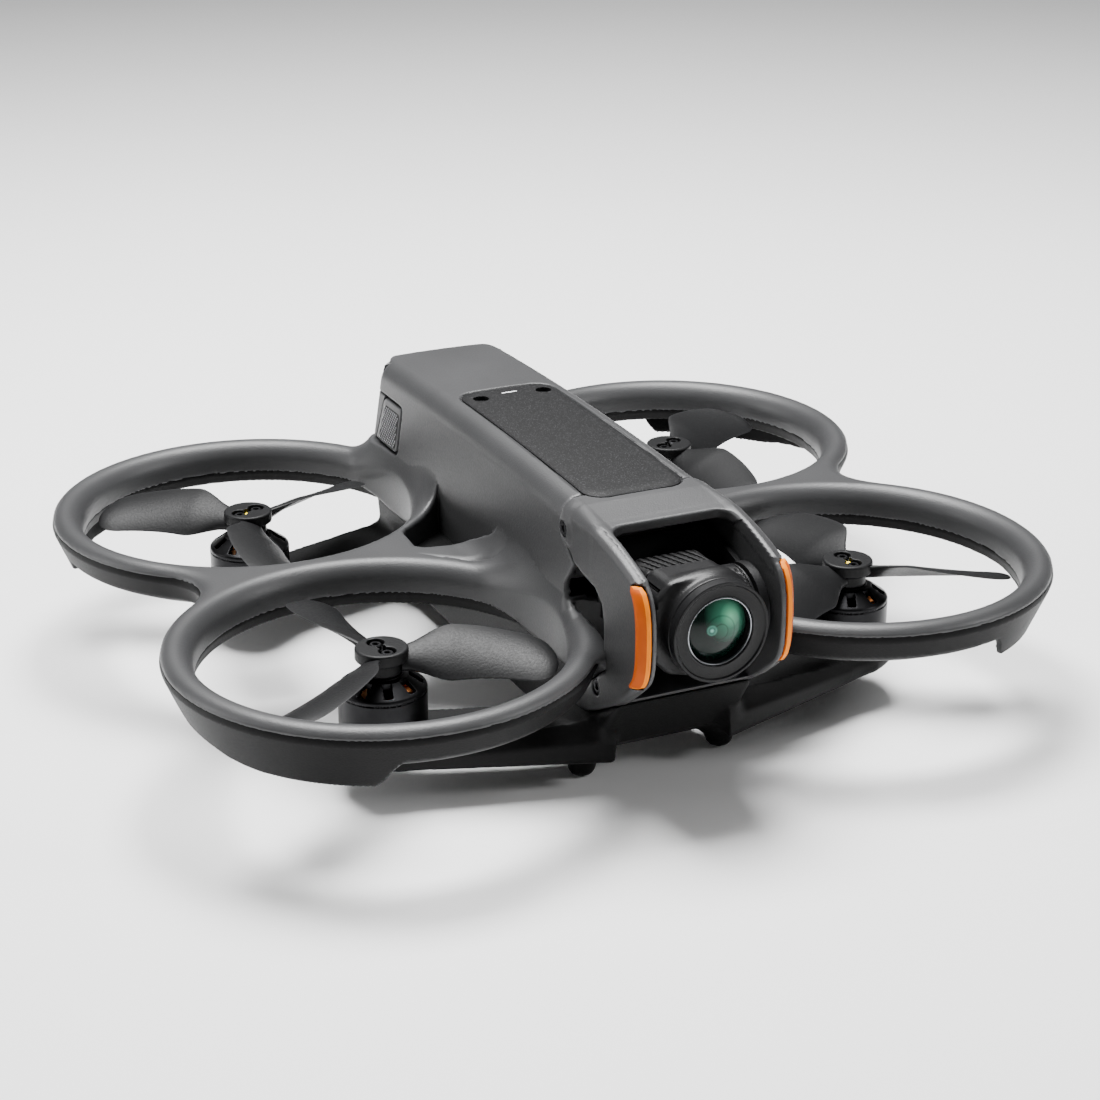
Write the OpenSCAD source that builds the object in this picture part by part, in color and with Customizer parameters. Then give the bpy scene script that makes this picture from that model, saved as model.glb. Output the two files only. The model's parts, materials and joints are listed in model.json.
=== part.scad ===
// Ducted first-person-view drone: four guarded rotors round a narrow fuselage,
// a tilting camera inside a front bumper loop and a battery that slides out at the rear.
// Origin: middle of the footprint on the ground. Nose towards -Y, +X is the left side, +Z up.

/* [Rotors and guard rings] */
// Distance of each motor axis from the middle, across
rotor_x = 58.5; // [58:0.5:60]
// Distance of each motor axis from the middle, along
rotor_y = 44.9; // [44.5:0.1:45.5]
// Outer radius of a guard ring
ring_outer_r = 47.5; // [47:0.5:48]
// Inner radius of a guard ring
ring_inner_r = 39.8; // [39.6:0.1:40]
// Height of the crest of a guard ring
ring_top_z = 35.8; // [35.5:0.1:36]
// Height of the lower edge of the shallow guard band
band_bottom_z = 27.7; // [27.5:0.1:28]
// Height of the lower edge of the deep outer fins
fin_bottom_z = 21.3; // [20:0.1:22]
// Radius of the fillet in the outer notch between two rings
notch_r = 12.9; // [12.5:0.1:13.5]

/* [Propellers and motors] */
// Tip radius of a propeller
blade_r = 38; // [36:0.5:38.5]
// Height of the top of the propeller hub
hub_top_z = 33; // [32.5:0.5:33.5]
// Radius of the propeller hub
hub_r = 5.85; // [5.5:0.05:6]
// Radius of the motor bell
bell_r = 9.75; // [9.5:0.05:10]
// Height of the face that carries the motors
motor_seat_z = 13; // [12:0.5:13]
// Radius of the motor shaft
shaft_r = 1; // [0.8:0.1:1]

/* [Fuselage] */
// Half of the fuselage width
body_half_w = 17.5; // [17:0.5:17.5]
// Height of the top of the fuselage
body_top_z = 63.5; // [63:0.5:64]
// Radius of the long top edges
body_edge_r = 5; // [4:0.5:6]
// Wall thickness of the shells
wall = 1.5; // [1.2:0.1:1.6]
// Height where the upper shell meets the lower frame
seam_z = 24; // [23:0.5:24]
// Height of the floor of the battery bay
bay_floor_z = 39.5; // [39:0.1:39.5]
// Distance from the middle to the front end of the battery bay
bay_front_y = 33; // [30:0.5:34]

/* [Camera] */
// Height of the lens axis and of the tilt axis
lens_z = 43; // [42.5:0.5:43.5]
// Distance of the tilt axis in front of the middle
tilt_y = 77.5; // [77:0.1:78]
// Distance of the front rim of the filter ring in front of the middle
lens_front_y = 89.5; // [89:0.1:90]
// Outer radius of the filter ring
filter_r = 11.2; // [10.5:0.1:11.3]

/* [Hidden] */
$fn = 64;

// Side signs of each rotor: x towards the left side, y towards the rear
front_right = [-1, -1];
front_left = [1, -1];
rear_right = [-1, 1];
rear_left = [1, 1];
ROTORS = [front_right, front_left, rear_right, rear_left];

seam_in_z = 27.8;      // joint of ring lip and guard band on the inner wall
crest_r = 44.2;        // radius of the crest of a ring lip
flank_z = 29.5;        // foot of the long inner flank of a ring lip
bead_r = ring_outer_r - crest_r;
bead_z = ring_top_z - bead_r;
band_in_z = 25.3;      // lower edge of the band's inner wall
web_top_z = 35.3;      // upper face of the webs between rings and fuselage
web_joint_z = 31.4;    // joint of shell and guard inside the webs
web_floor_z = 28.4;    // upper face of the floor under the webs
gap = 0.3;             // space left round pieces that slide
rear_slope = 0.362;    // how far the rear face leans back for each unit down
rear_y = 63;           // rear edge of the top of the fuselage
rear_ref_z = 60.6;     // height at which rear_y holds
chamfer_in = 4.9;      // width of the rear corner chamfers
front_y = -48.4;       // seam between fuselage and bumper
wall_front_y = -52;    // front bulkhead behind the camera
tilt_clear_r = 17.4;   // everything fixed stays outside this radius round the tilt axis
leg_in_x = 14.8;       // inner face of a bumper leg
leg_out_x = 18.2;      // outer face of a bumper leg
foot_x = 17.3;         // place of the front feet
foot_y = -58.9;
rear_foot_y = 48;

// Front edge of a bumper leg, from the top down, as (y, z)
leg_front = [[-85.5, 54.3], [-87.8, 51], [-88.8, 46], [-88.8, 39], [-87.8, 34.5], [-85.5, 31.5]];

// ---- helpers ----

// Moves a child to the axis of one rotor
module at_rotor(side) {
    translate([side[0] * rotor_x, side[1] * rotor_y, 0]) children();
}

// Draws the children on both sides of the middle plane
module both_sides() {
    for (side = [1, -1]) scale_x(side) children();
}

module scale_x(side) {
    if (side > 0) children();
    else mirror([1, 0, 0]) children();
}

// Extrudes an outline given as (y, z) from x0 to x1
module side_prism(x0, x1) {
    translate([x0, 0, 0]) rotate([90, 0, 90]) linear_extrude(x1 - x0) children();
}

// Extrudes an outline given as (x, z) from y0 to y1
module cross_prism(y0, y1) {
    translate([0, y1, 0]) rotate([90, 0, 0]) linear_extrude(y1 - y0) children();
}

// Box from one corner to the opposite one
module block(low, high) {
    translate(low) cube(high - low);
}

// Outline with two round top corners, centred on x
module round_top(half_w, z0, z1, r) {
    translate([-half_w, z0]) square([2 * half_w, z1 - r - z0]);
    translate([-half_w + r, z0]) square([2 * (half_w - r), z1 - z0]);
    for (x = [-1, 1]) translate([x * (half_w - r), z1 - r]) circle(r);
}

// Rectangle with four round corners, centred
module round_rect(w, h, r) {
    square([w - 2 * r, h], center = true);
    square([w, h - 2 * r], center = true);
    for (x = [-1, 1], y = [-1, 1]) translate([x * (w / 2 - r), y * (h / 2 - r)]) circle(r);
}

// Cylinder along Y from y0 to y1 round the lens axis
module lens_disc(r, y0, y1) {
    translate([0, y1, lens_z]) rotate([90, 0, 0]) cylinder(r = r, h = y1 - y0);
}

// Cylinder along X from x0 to x1 round the tilt axis
module tilt_disc(r, x0, x1) {
    translate([x0, -tilt_y, lens_z]) rotate([0, 90, 0]) cylinder(r = r, h = x1 - x0);
}

// ---- guard rings ----

// Section of the lip from the inner wall over the crest to the outer seam, shrunk by inset
function lip_arc(inset) = concat(
    [for (a = [180:-15:105]) [crest_r + (crest_r - ring_inner_r - inset) * cos(a),
        flank_z + (ring_top_z - flank_z - inset) * sin(a)]],
    [for (a = [90:-14:20]) [crest_r + (bead_r - inset) * cos(a),
        bead_z + (bead_r - inset) * sin(a)]]);

module lip_section() {
    inner = lip_arc(wall);
    polygon(concat([[ring_inner_r, seam_in_z]], lip_arc(0),
        [for (i = [len(inner) - 1:-1:0]) inner[i]], [[ring_inner_r + wall, seam_in_z]]));
}

// Trough below the lip: a short inner wall, a sloping floor and a taller outer wall
module band_section() {
    out = ring_outer_r;
    polygon([[ring_inner_r + 0.2, seam_in_z - 0.02], [ring_inner_r + 0.9, band_in_z],
        [ring_inner_r + 2.2, band_in_z - 0.1], [out - 2.1, band_bottom_z], [out - 0.1, bead_z],
        [out - 0.25, bead_z + 1.05], [out - 1.55, bead_z + 0.55], [out - 1.5, bead_z - 0.1],
        [out - 3.2, band_bottom_z + 0.8], [ring_inner_r + 2.6, band_in_z + 1.4],
        [ring_inner_r + 1.7, seam_in_z - 0.02]]);
}

// Wall of the deep fin, leaning inwards as it goes down
module fin_section() {
    polygon([[46, 29.2], [42.75, fin_bottom_z], [41.2, fin_bottom_z], [43.9, 28.4]]);
}

// Circle of radius r about each rotor axis of one side
module ring_discs(sx, r) {
    for (sy = [-1, 1]) translate([sx * rotor_x, sy * rotor_y]) circle(r);
}

// Plan of the webs that join two rings of the left side to each other and to the fuselage
module web_plan() {
    notch_x = rotor_x + sqrt(pow(ring_outer_r + notch_r, 2) - pow(rotor_y, 2));
    difference() {
        union() {
            polygon([[rotor_x - 2, -22], [rotor_x + 30, -10.5], [rotor_x + 30, 10.5],
                [rotor_x - 2, 22]]);
            polygon([[body_half_w - 1, -34], [48, -7], [48, 7], [body_half_w - 1, 34]]);
        }
        ring_discs(1, ring_inner_r + wall);
        translate([notch_x, 0]) circle(notch_r);
    }
}

// Plan of the well beside the fuselage
module pocket_plan() {
    polygon([[body_half_w, -7], [20.5, -3.8], [30.6, -2.4], [31.7, -1.4], [31.4, 9],
        [30.4, 10.8], [body_half_w, 19.5]]);
}

// ---- fuselage ----

// Side view of the fuselage shell as (y, z)
module shell_side() {
    polygon([[front_y, body_top_z + 1], [rear_y, body_top_z + 1], [rear_y, rear_ref_z],
        [rear_y + (rear_ref_z - bay_floor_z) * rear_slope, bay_floor_z],
        [69, 34], [66, seam_z], [-46, seam_z], [-60, 25], [-69.7, 31], [-61.7, 32.8],
        [-55.6, 33.7], [-50.4, 36], [-49.8, 39.7], [-54.4, 48], [-49.8, 52],
        [front_y + 0.1, 54.4]]);
}

// Plan of the fuselage with its chamfered rear corners
module shell_plan(grow) {
    back = rear_y + grow;
    polygon([[-body_half_w, -70], [body_half_w, -70], [body_half_w, back - chamfer_in],
        [body_half_w - chamfer_in, back], [chamfer_in - body_half_w, back],
        [-body_half_w, back - chamfer_in]]);
}

// Side view of a release button, grown by g
module button_side(g) {
    polygon([[44.3 - g, 53.2 + g], [56 + g / 2, 53.2 + g], [62.9 + g, 40 - g],
        [48.9 - g, 40 - g]]);
}

module upper_shell() color("dimgray") difference() {
    union() {
        for (side = ROTORS) at_rotor(side) rotate_extrude($fn = 128) lip_section();
        both_sides() translate([0, 0, web_joint_z]) linear_extrude(web_top_z - web_joint_z)
            web_plan();
        both_sides() translate([0, 0, web_floor_z]) linear_extrude(web_top_z - web_floor_z)
            difference() {
                pocket_wall_plan();
                pocket_plan();
            }
        intersection() {
            cross_prism(-70, 72) round_top(body_half_w, 20, body_top_z, body_edge_r);
            side_prism(-20, 20) shell_side();
            translate([0, 0, 20]) linear_extrude(50) shell_plan(8);
        }
    }
    // rotor ducts, a hair wider than the lips' inner walls
    for (side = ROTORS) at_rotor(side) translate([0, 0, 20])
        cylinder(r = ring_inner_r + 0.02, h = 20, $fn = 128);
    // battery bay, open at the rear
    cross_prism(-bay_front_y, 80)
        round_top(body_half_w - wall, bay_floor_z, body_top_z - 2, body_edge_r - wall);
    // space for the electronics below the bay and ahead of it
    cross_prism(wall_front_y + wall, 64) translate([wall - body_half_w, 20])
        square([2 * (body_half_w - wall), bay_floor_z - wall - 20]);
    cross_prism(wall_front_y + wall, -bay_front_y - wall)
        round_top(body_half_w - wall, 30, body_top_z - 2, body_edge_r - wall);
    // camera space
    cross_prism(-72, wall_front_y) translate([wall - body_half_w, 20])
        square([2 * (body_half_w - wall), 50]);
    // rear end: room for the battery cap
    side_prism(-20, 20) rear_cut();
    both_sides() side_prism(body_half_w - wall - 1, 20) button_notch();
    // wells and the recess of the top panel
    both_sides() translate([0, 0, web_floor_z]) linear_extrude(web_top_z - web_floor_z + 9)
        pocket_plan();
    translate([0, panel_mid_y, body_top_z - 1]) linear_extrude(2)
        round_rect(panel_w + 0.4, panel_l + 0.4, 5);
    for (x = [-1, 1]) translate([x * screw_x, screw_y, body_top_z - 4]) cylinder(r = 1.05, h = 4);
}

// Ring of material round the well
module pocket_wall_plan() {
    polygon([[body_half_w - 1, -9], [20.5, -6], [31.4, -4.4], [33.6, -2.4], [33.3, 10],
        [31.6, 12.8], [body_half_w - 1, 22]]);
}

// What the battery cap takes from the shell, as (y, z)
module rear_cut() {
    polygon([[cap_y(body_top_z - 2), body_top_z - 2], [80, body_top_z - 2], [80, bay_floor_z],
        [cap_y(bay_floor_z), bay_floor_z]]);
}

// Seam plane of the battery cap at height z
function cap_y(z) = rear_y - chamfer_in + (rear_ref_z - z) * rear_slope;

module button_notch() {
    polygon([[43.8, 53.7], [80, 53.7], [80, bay_floor_z], [48.3, bay_floor_z]]);
}

panel_w = 24.4;
panel_l = 74.6;
panel_mid_y = -14.6;
screw_x = 8.2;
screw_y = 15.8;

module top_panel() color([0.16, 0.16, 0.17]) difference() {
    translate([0, panel_mid_y, body_top_z - 1]) linear_extrude(0.8)
        round_rect(panel_w, panel_l, 4.8);
    for (x = [-1, 1]) translate([x * screw_x, screw_y, body_top_z - 2]) cylinder(r = 1.9, h = 3);
}

// ---- bumper ----

module bumper_side_outline() {
    polygon(concat([[front_y, 61.8], [-64.9, 60], [-76, 57.6]], leg_front,
        [[-79.5, 26.5], [-75.5, 23.8], [-62, 17], [-56, 16.5], [-60.2, 23.2], [-70.3, 31.4],
        [-69.5, 40.6], [-68.4, 44.1], [-65.4, 46.5], [-59.4, 47.4], [-55, 48.6],
        [-50.3, 52.2], [front_y, 54.5]]));
}

module front_bumper() color("dimgray") difference() {
    union() {
        both_sides() side_prism(leg_in_x, leg_out_x) bumper_side_outline();
        side_prism(-leg_in_x, leg_in_x) polygon([[front_y, body_top_z - 1.6], [-64.9, 60],
            [-64.9, 57.6], [front_y, 60]]);
        // sloping chin that stays clear of the camera's swing
        side_prism(-leg_in_x, leg_in_x) polygon([[-76.5, 24.6], [-75.5, 23.8], [-62, 17],
            [-56, 16.5], [-56, 20], [-66.5, 26.6]]);
    }
    // rebates of the stripes, screw holes, space for the camera's swing
    both_sides() side_prism(leg_out_x - 1.2, leg_out_x + 2) stripe_outline();
    for (p = [upper_screw, lower_screw]) translate([-25, p[0], p[1]]) rotate([0, 90, 0])
        cylinder(r = 1.05, h = 50, $fn = 32);
    tilt_disc(tilt_clear_r, -leg_in_x + 0.1, leg_in_x - 0.1);
}

upper_screw = [-50.4, 55.5];
lower_screw = [-66.5, 24.5];

// Front edge band of a leg as (y, z)
module stripe_outline() {
    polygon(concat(leg_front, [for (i = [len(leg_front) - 1:-1:0]) leg_front[i] + [2.2, 0]]));
}

module bumper_stripes() color("darkorange") both_sides()
    side_prism(leg_out_x - 1.2, leg_out_x + 1.2) stripe_outline();

// Socket-head screw along +X from the outside in, head at x
module side_screw(x, y, z) {
    translate([x, y, z]) rotate([0, 90, 0]) difference() {
        union() {
            cylinder(r = 1.7, h = 0.8, $fn = 32);
            translate([0, 0, 0.8]) cylinder(r = 1, h = 2.4, $fn = 32);
        }
        translate([0, 0, -0.1]) cylinder(r = 0.8, h = 0.6, $fn = 6);
    }
}

module frame_screws() color("black") {
    for (x = [-1, 1]) translate([x * screw_x, screw_y, body_top_z - 3.8]) difference() {
        union() {
            translate([0, 0, 1.85]) cylinder(r = 1, h = 1.2, $fn = 32);
            translate([0, 0, 2.8]) cylinder(r = 1.7, h = 0.8, $fn = 32);
        }
        translate([0, 0, 3.1]) cylinder(r = 0.8, h = 1, $fn = 6);
    }
    both_sides() for (p = [upper_screw, lower_screw])
        side_screw(-leg_out_x - 0.8, p[0], p[1]);
    both_sides() for (y = [-30, 40]) translate([11, y, 3.2]) difference() {
        union() {
            cylinder(r = 1.7, h = 0.8, $fn = 32);
            cylinder(r = 1, h = 3, $fn = 32);
        }
        translate([0, 0, -0.1]) cylinder(r = 0.8, h = 0.5, $fn = 6);
    }
}

// ---- lower frame ----

module arm(side) hull() {
    at_rotor(side) translate([0, 0, 8.5]) cylinder(r = 11.5, h = motor_seat_z - 8.5, $fn = 32);
    block([side[0] * 16.5 - 0.5, side[1] * 60 - 9, 6], [side[0] * 16.5 + 0.5, side[1] * 60 + 8, 15]);
}

// Rounded foot that widens upwards into the frame
module foot(x, y) translate([x, y, 0]) rotate_extrude()
    polygon([[0, 0], [1.2, 0], [2.2, 0.4], [2.9, 1.3], [3.3, 3], [4.4, 9], [0, 9]]);

// Side view of the tray as (y, z)
module tray_side() {
    polygon([[-52, seam_z], [66, seam_z], [62, 8], [56, 5], [-50, 5], [-58, 6], [-66, 9.5],
        [-75.5, 23.6], [-62, 16.8], [-55.8, 16.3], [-52, 22]]);
}

module lower_frame() color([0.1, 0.1, 0.1]) difference() {
    union() {
        side_prism(-17, 17) tray_side();
        for (side = ROTORS) arm(side);
        for (x = [-1, 1]) foot(x * foot_x, foot_y);
        for (x = [-1, 1]) foot(x * 14, rear_foot_y);
    }
    // inside of the tray
    block([-15.4, -48, 6.6], [15.4, 60, seam_z + 1]);
    // window for the belly cover
    block([-12.2, -46, 0], [12.2, 46, 8]);
    // mouths of the charging port and the card slot
    block([15, 29.9, 18.1], [18, 39.1, 21.5]);
    block([15, 14.5, 18.5], [18, 25.5, 19.5]);
    // level motor seats, motor screws and cable way
    for (side = ROTORS) at_rotor(side) {
        translate([0, 0, motor_seat_z]) cylinder(r = 9.2, h = 5);
        translate([0, 0, 5]) cylinder(r = 3, h = 20);
        for (a = [45:90:315]) rotate(a) translate([7, 0, 5]) cylinder(r = 0.8, h = 20, $fn = 24);
    }
}

// One guard: both bands of a side, the floor below the webs and the outer fins
module lower_guard(sx) scale_x(sx) difference() {
    union() {
        for (sy = [-1, 1]) translate([rotor_x, sy * rotor_y, 0]) {
            rotate_extrude($fn = 128) band_section();
            rotate([0, 0, sy < 0 ? -73 : 3]) rotate_extrude(angle = 70, $fn = 128) fin_section();
        }
        translate([0, 0, web_floor_z - 1.4]) linear_extrude(1.4) difference() {
            web_plan();
            translate([0, -80]) square([body_half_w + 0.3, 160]);
        }
        translate([0, 0, web_floor_z - 1.4]) linear_extrude(web_joint_z - web_floor_z + 1.38)
            intersection() {
                web_plan();
                translate([rotor_x - 4, -30]) square(60);
            }
    }
    // room for the shell's webs and for the walls of the wells
    translate([0, 0, web_joint_z - 0.02]) linear_extrude(10) web_plan();
    translate([0, 0, web_floor_z]) linear_extrude(10) pocket_wall_plan();
    // ducts, and the fuselage side that the rings run into
    for (sy = [-1, 1]) translate([rotor_x, sy * rotor_y, 20]) {
        cylinder(r = ring_inner_r, h = 20, $fn = 128);
        translate([0, 0, seam_in_z - 20.02])
            cylinder(r = ring_inner_r + wall + 0.3, h = 20, $fn = 128);
    }
    block([0, -100, 15], [body_half_w + 0.02, 100, 40]);
}

module lower_guard_left() color([0.08, 0.08, 0.08]) lower_guard(1);
module lower_guard_right() color([0.08, 0.08, 0.08]) lower_guard(-1);

module belly_cover() color([0.12, 0.12, 0.12]) difference() {
    union() {
        block([-12, -45.8, 5], [12, 45.8, 6.6]);
        for (y = [-44:4:-16]) block([-9, y, 4], [9, y + 1.6, 5.1]);
        block([-14, -47, 6.6], [14, 47, 7.8]);
    }
    for (x = [-4.5, 4.5]) translate([x, 14, 0]) cylinder(r = 3, h = 10);
    translate([0, 24, 0]) cylinder(r = 2, h = 10);
    both_sides() for (y = [-30, 40]) translate([11, y, 0]) cylinder(r = 1.05, h = 12, $fn = 32);
    both_sides() for (y = [-30, 40]) translate([11, y, 0]) cylinder(r = 1.75, h = 5.2, $fn = 32);
}

module vision_cameras() color([0.05, 0.05, 0.06]) for (x = [-4.5, 4.5]) translate([x, 14, 4.4]) {
    cylinder(r = 2.9, h = 6);
    translate([0, 0, 6]) cylinder(r = 3.6, h = 3);
}

module infrared_sensor() color([0.2, 0.05, 0.08]) translate([0, 24, 5]) cylinder(r = 1.9, h = 5);

module heat_sink() color("silver") {
    block([-13, -44, 7.8], [13, 6, 9]);
    for (y = [-42:4:2]) block([-13, y, 8.9], [13, y + 1.2, 15]);
}

module main_board() color("darkgreen") {
    block([-14, -44, 16.4], [14, 52, 18]);
    for (y = [-34, -14, 8]) block([-7, y, 15], [7, y + 12, 16.5]);
    block([-9, 26, 17.9], [9, 44, 20.5]);
}

module gps_module() color("tan") block([-9, -49, 51], [9, -36, 58]);

module battery_connector() color("gold") {
    block([-10, -bay_front_y + 0.02, 44], [10, -bay_front_y + 1.5, 56]);
    for (x = [-6:3:6]) block([x - 0.5, -bay_front_y + 1.4, 46], [x + 0.5, -bay_front_y + 4, 54]);
}

module usb_port() color("silver") difference() {
    block([11, 30, 18.2], [17.6, 39, 21.4]);
    block([13, 30.5, 18.6], [18, 38.5, 21]);
}

module card_slot() color("silver") difference() {
    block([4, 14, 18.2], [15.2, 26, 20]);
    block([5, 14.6, 18.6], [15.5, 25.4, 19.4]);
}

// ---- gimbal and camera ----

module gimbal_mount() color([0.08, 0.08, 0.08]) difference() {
    union() {
        block([-12, -58.4, 36], [14.4, -57, 54]);
        side_prism(13.2, 14.4) polygon([[-57, 36], [-57, 54], [-72, 50], [-tilt_y, 50],
            [-tilt_y, 36], [-70, 36]]);
        tilt_disc(7, 13.2, 14.4);
    }
    tilt_disc(2, 13, 15);
}

module damper_balls() color([0.05, 0.05, 0.05]) for (x = [-9, 9], z = [39, 51])
    translate([x, -57, z]) rotate([-90, 0, 0]) rotate_extrude($fn = 32)
        polygon([[0, 0], [1, 0], [1.9, 1.2], [1.9, 3.8], [1, 5], [0, 5]]);

module tilt_motor() color([0.07, 0.07, 0.07]) difference() {
    tilt_disc(9, 11.3, 13.2);
    tilt_disc(1.55, 11, 13.5);
}

module flex_cable() color([0.1, 0.07, 0.04]) {
    block([-3, -57, 37], [3, -52, 37.2]);
    block([-3, -57, 37.2], [3, -56.8, 40]);
}

module camera_shell(y0, y1, w, z_half) {
    cross_prism(y0, y1) translate([-2.1, lens_z]) round_rect(w, z_half * 2, 3);
}

module camera_body() color([0.13, 0.13, 0.13]) difference() {
    union() {
        camera_shell(-84, -75, 21, 10.6);
        lens_disc(filter_r, -86.8, -84);
        lens_disc(9, -88.9, -86.8);
        tilt_disc(8.8, 8.4, 10.8);
        tilt_disc(1.5, 10.7, 13.2);
    }
    lens_disc(8.4, -90, -76);
    cross_prism(-82, -74) translate([-2.1, lens_z]) round_rect(18.6, 18, 2);
}

module camera_rear_cover() color([0.09, 0.09, 0.09]) difference() {
    union() {
        camera_shell(-75, -67, 21, 10);
        for (i = [0:7]) translate([-9.8 + 2 * i, -73.6, lens_z + 9.4]) rotate([0, 0, -12])
            cube([0.9, 5.6, 1.2]);
    }
    cross_prism(-75.1, -68.2) translate([-2.1, lens_z]) round_rect(18.6, 17.6, 2);
}

module lens_barrel() color([0.05, 0.05, 0.05]) difference() {
    lens_disc(8.35, -88.4, -76);
    lens_disc(7.35, -89, -78);
}

module lens_glass() color([0.1, 0.3, 0.25]) translate([0, -79, lens_z]) rotate([90, 0, 0])
    rotate_extrude() intersection() {
        translate([0, -3]) circle(r = 13, $fn = 96);
        square([7.3, 20]);
    }

module filter_ring() color([0.1, 0.1, 0.1]) difference() {
    lens_disc(filter_r, -lens_front_y, -86.95);
    lens_disc(9.05, -89.05, -86);
    lens_disc(7.7, -90, -86);
    for (z = [-1, 1]) translate([-1.5, -lens_front_y - 0.5, lens_z + z * (filter_r + 0.5) - 0.8])
        cube([3, 1.4, 1.6]);
}

// ---- motors ----

module motor_base() color([0.1, 0.1, 0.1]) difference() {
    union() {
        translate([0, 0, motor_seat_z]) cylinder(r = 9, h = 1.6);
        translate([0, 0, motor_seat_z]) cylinder(r = 2.9, h = 11.2);
    }
    translate([0, 0, motor_seat_z + 1]) cylinder(r = 2, h = 12);
    translate([0, 0, motor_seat_z - 1]) cylinder(r = 1.3, h = 4);
}

module stator() color("peru") difference() {
    union() {
        translate([0, 0, 16.4]) cylinder(r = 4.6, h = 5.4);
        for (a = [0:40:320]) rotate(a) translate([3.8, -1.1, 16.7]) cube([4.6, 2.2, 4.8]);
    }
    translate([0, 0, 10]) cylinder(r = 2.9, h = 20);
}

module motor_bearings() color("silver") for (side = ROTORS) at_rotor(side)
    for (z = [motor_seat_z + 1, motor_seat_z + 8.8]) translate([0, 0, z]) difference() {
        cylinder(r = 2, h = 2);
        translate([0, 0, -1]) cylinder(r = shaft_r + 0.03, h = 4);
    }

module motor_bell() color([0.12, 0.12, 0.12]) difference() {
    rotate_extrude() polygon([[shaft_r, 24.6], [3.4, 24.6], [bell_r - 0.9, 23.6],
        [bell_r - 0.9, 15.4], [bell_r, 15.4], [bell_r, 23.9], [6, 26.6], [4.4, 26.6],
        [4.4, 27], [shaft_r, 27]]);
    for (a = [0:60:300]) rotate(a) translate([5, -1, 22]) cube([3.4, 2, 8]);
    for (x = [-1, 1]) translate([x * 2.6, 0, 24]) cylinder(r = 0.65, h = 4, $fn = 24);
}

module motor_shaft() color("silver") translate([0, 0, motor_seat_z + 1.1])
    cylinder(r = shaft_r, h = 27 - motor_seat_z - 1.1);

// ---- propellers ----

blade_stations = 12;
section_points = 10;

function blade_chord(t) = 6 + 12 * sqrt(t) * (1 - pow(t, 4));
function blade_pitch(t) = 36 - 20 * t;
function blade_thick(t) = 1.6 - 0.9 * t;
function blade_sweep(t) = 2.5 * sin(180 * t) - 1.2 * t;

// Corner k of the blade section at station t, for a blade along +X turning anticlockwise
function blade_point(t, k) =
    let (a = 360 * k / section_points,
         u = cos(a) * blade_chord(t) / 2 * (t > 0.999 ? 0.6 : 1) + blade_sweep(t),
         w = sin(a) * blade_thick(t) / 2,
         p = blade_pitch(t))
    [4.6 + t * (blade_r - 4.6), u * cos(p) - w * sin(p), 30 + u * sin(p) + w * cos(p)];

module blade() {
    points = [for (i = [0:blade_stations]) for (k = [0:section_points - 1])
        blade_point(pow(i / blade_stations, 0.85), k)];
    last = blade_stations * section_points;
    sides = [for (i = [0:blade_stations - 1]) for (k = [0:section_points - 1])
        let (a = i * section_points + k, b = i * section_points + (k + 1) % section_points)
        for (face = [[a, a + section_points, b + section_points], [a, b + section_points, b]])
            face];
    polyhedron(points, concat(sides, [[for (k = [0:section_points - 1]) k],
        [for (k = [section_points - 1:-1:0]) last + k]]), convexity = 6);
}

// Three blades on a hub; spin is 1 for anticlockwise and -1 for clockwise
module propeller(side, spin, phase) color([0.2, 0.2, 0.2]) at_rotor(side) difference() {
    union() {
        translate([0, 0, 27.2]) cylinder(r = 4.4, h = hub_top_z - 27.6);
        translate([0, 0, hub_top_z - 3]) cylinder(r = hub_r, h = 3);
        rotate(phase) mirror([0, spin > 0 ? 0 : 1, 0]) for (a = [0:120:240]) rotate(a) blade();
    }
    for (x = [-1, 1]) rotate(phase) translate([x * 2.6, 0, 0]) {
        translate([0, 0, 26]) cylinder(r = 0.75, h = 8, $fn = 24);
        translate([0, 0, hub_top_z - 1.6]) cylinder(r = 1.7, h = 3, $fn = 32);
    }
}

module prop_screws(side, phase) color("black") at_rotor(side) rotate(phase)
    for (x = [-1, 1]) translate([x * 2.6, 0, 0]) difference() {
        union() {
            translate([0, 0, 25.4]) cylinder(r = 0.65, h = hub_top_z - 27, $fn = 24);
            translate([0, 0, hub_top_z - 1.6]) cylinder(r = 1.4, h = 1.2, $fn = 32);
        }
        translate([0, 0, hub_top_z - 1.1]) cylinder(r = 0.75, h = 1, $fn = 6);
    }

phase_front_right = 98;
phase_front_left = 88;
phase_rear_right = 22;
phase_rear_left = 34;

module motor_base_front_right() at_rotor(front_right) motor_base();
module motor_base_front_left() at_rotor(front_left) motor_base();
module motor_base_rear_right() at_rotor(rear_right) motor_base();
module motor_base_rear_left() at_rotor(rear_left) motor_base();
module stator_front_right() at_rotor(front_right) stator();
module stator_front_left() at_rotor(front_left) stator();
module stator_rear_right() at_rotor(rear_right) stator();
module stator_rear_left() at_rotor(rear_left) stator();
module motor_bell_front_right() at_rotor(front_right) rotate(phase_front_right) motor_bell();
module motor_bell_front_left() at_rotor(front_left) rotate(phase_front_left) motor_bell();
module motor_bell_rear_right() at_rotor(rear_right) rotate(phase_rear_right) motor_bell();
module motor_bell_rear_left() at_rotor(rear_left) rotate(phase_rear_left) motor_bell();
module motor_shaft_front_right() at_rotor(front_right) motor_shaft();
module motor_shaft_front_left() at_rotor(front_left) motor_shaft();
module motor_shaft_rear_right() at_rotor(rear_right) motor_shaft();
module motor_shaft_rear_left() at_rotor(rear_left) motor_shaft();
module propeller_front_right() propeller(front_right, 1, phase_front_right);
module propeller_front_left() propeller(front_left, -1, phase_front_left);
module propeller_rear_right() propeller(rear_right, -1, phase_rear_right);
module propeller_rear_left() propeller(rear_left, 1, phase_rear_left);
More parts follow.
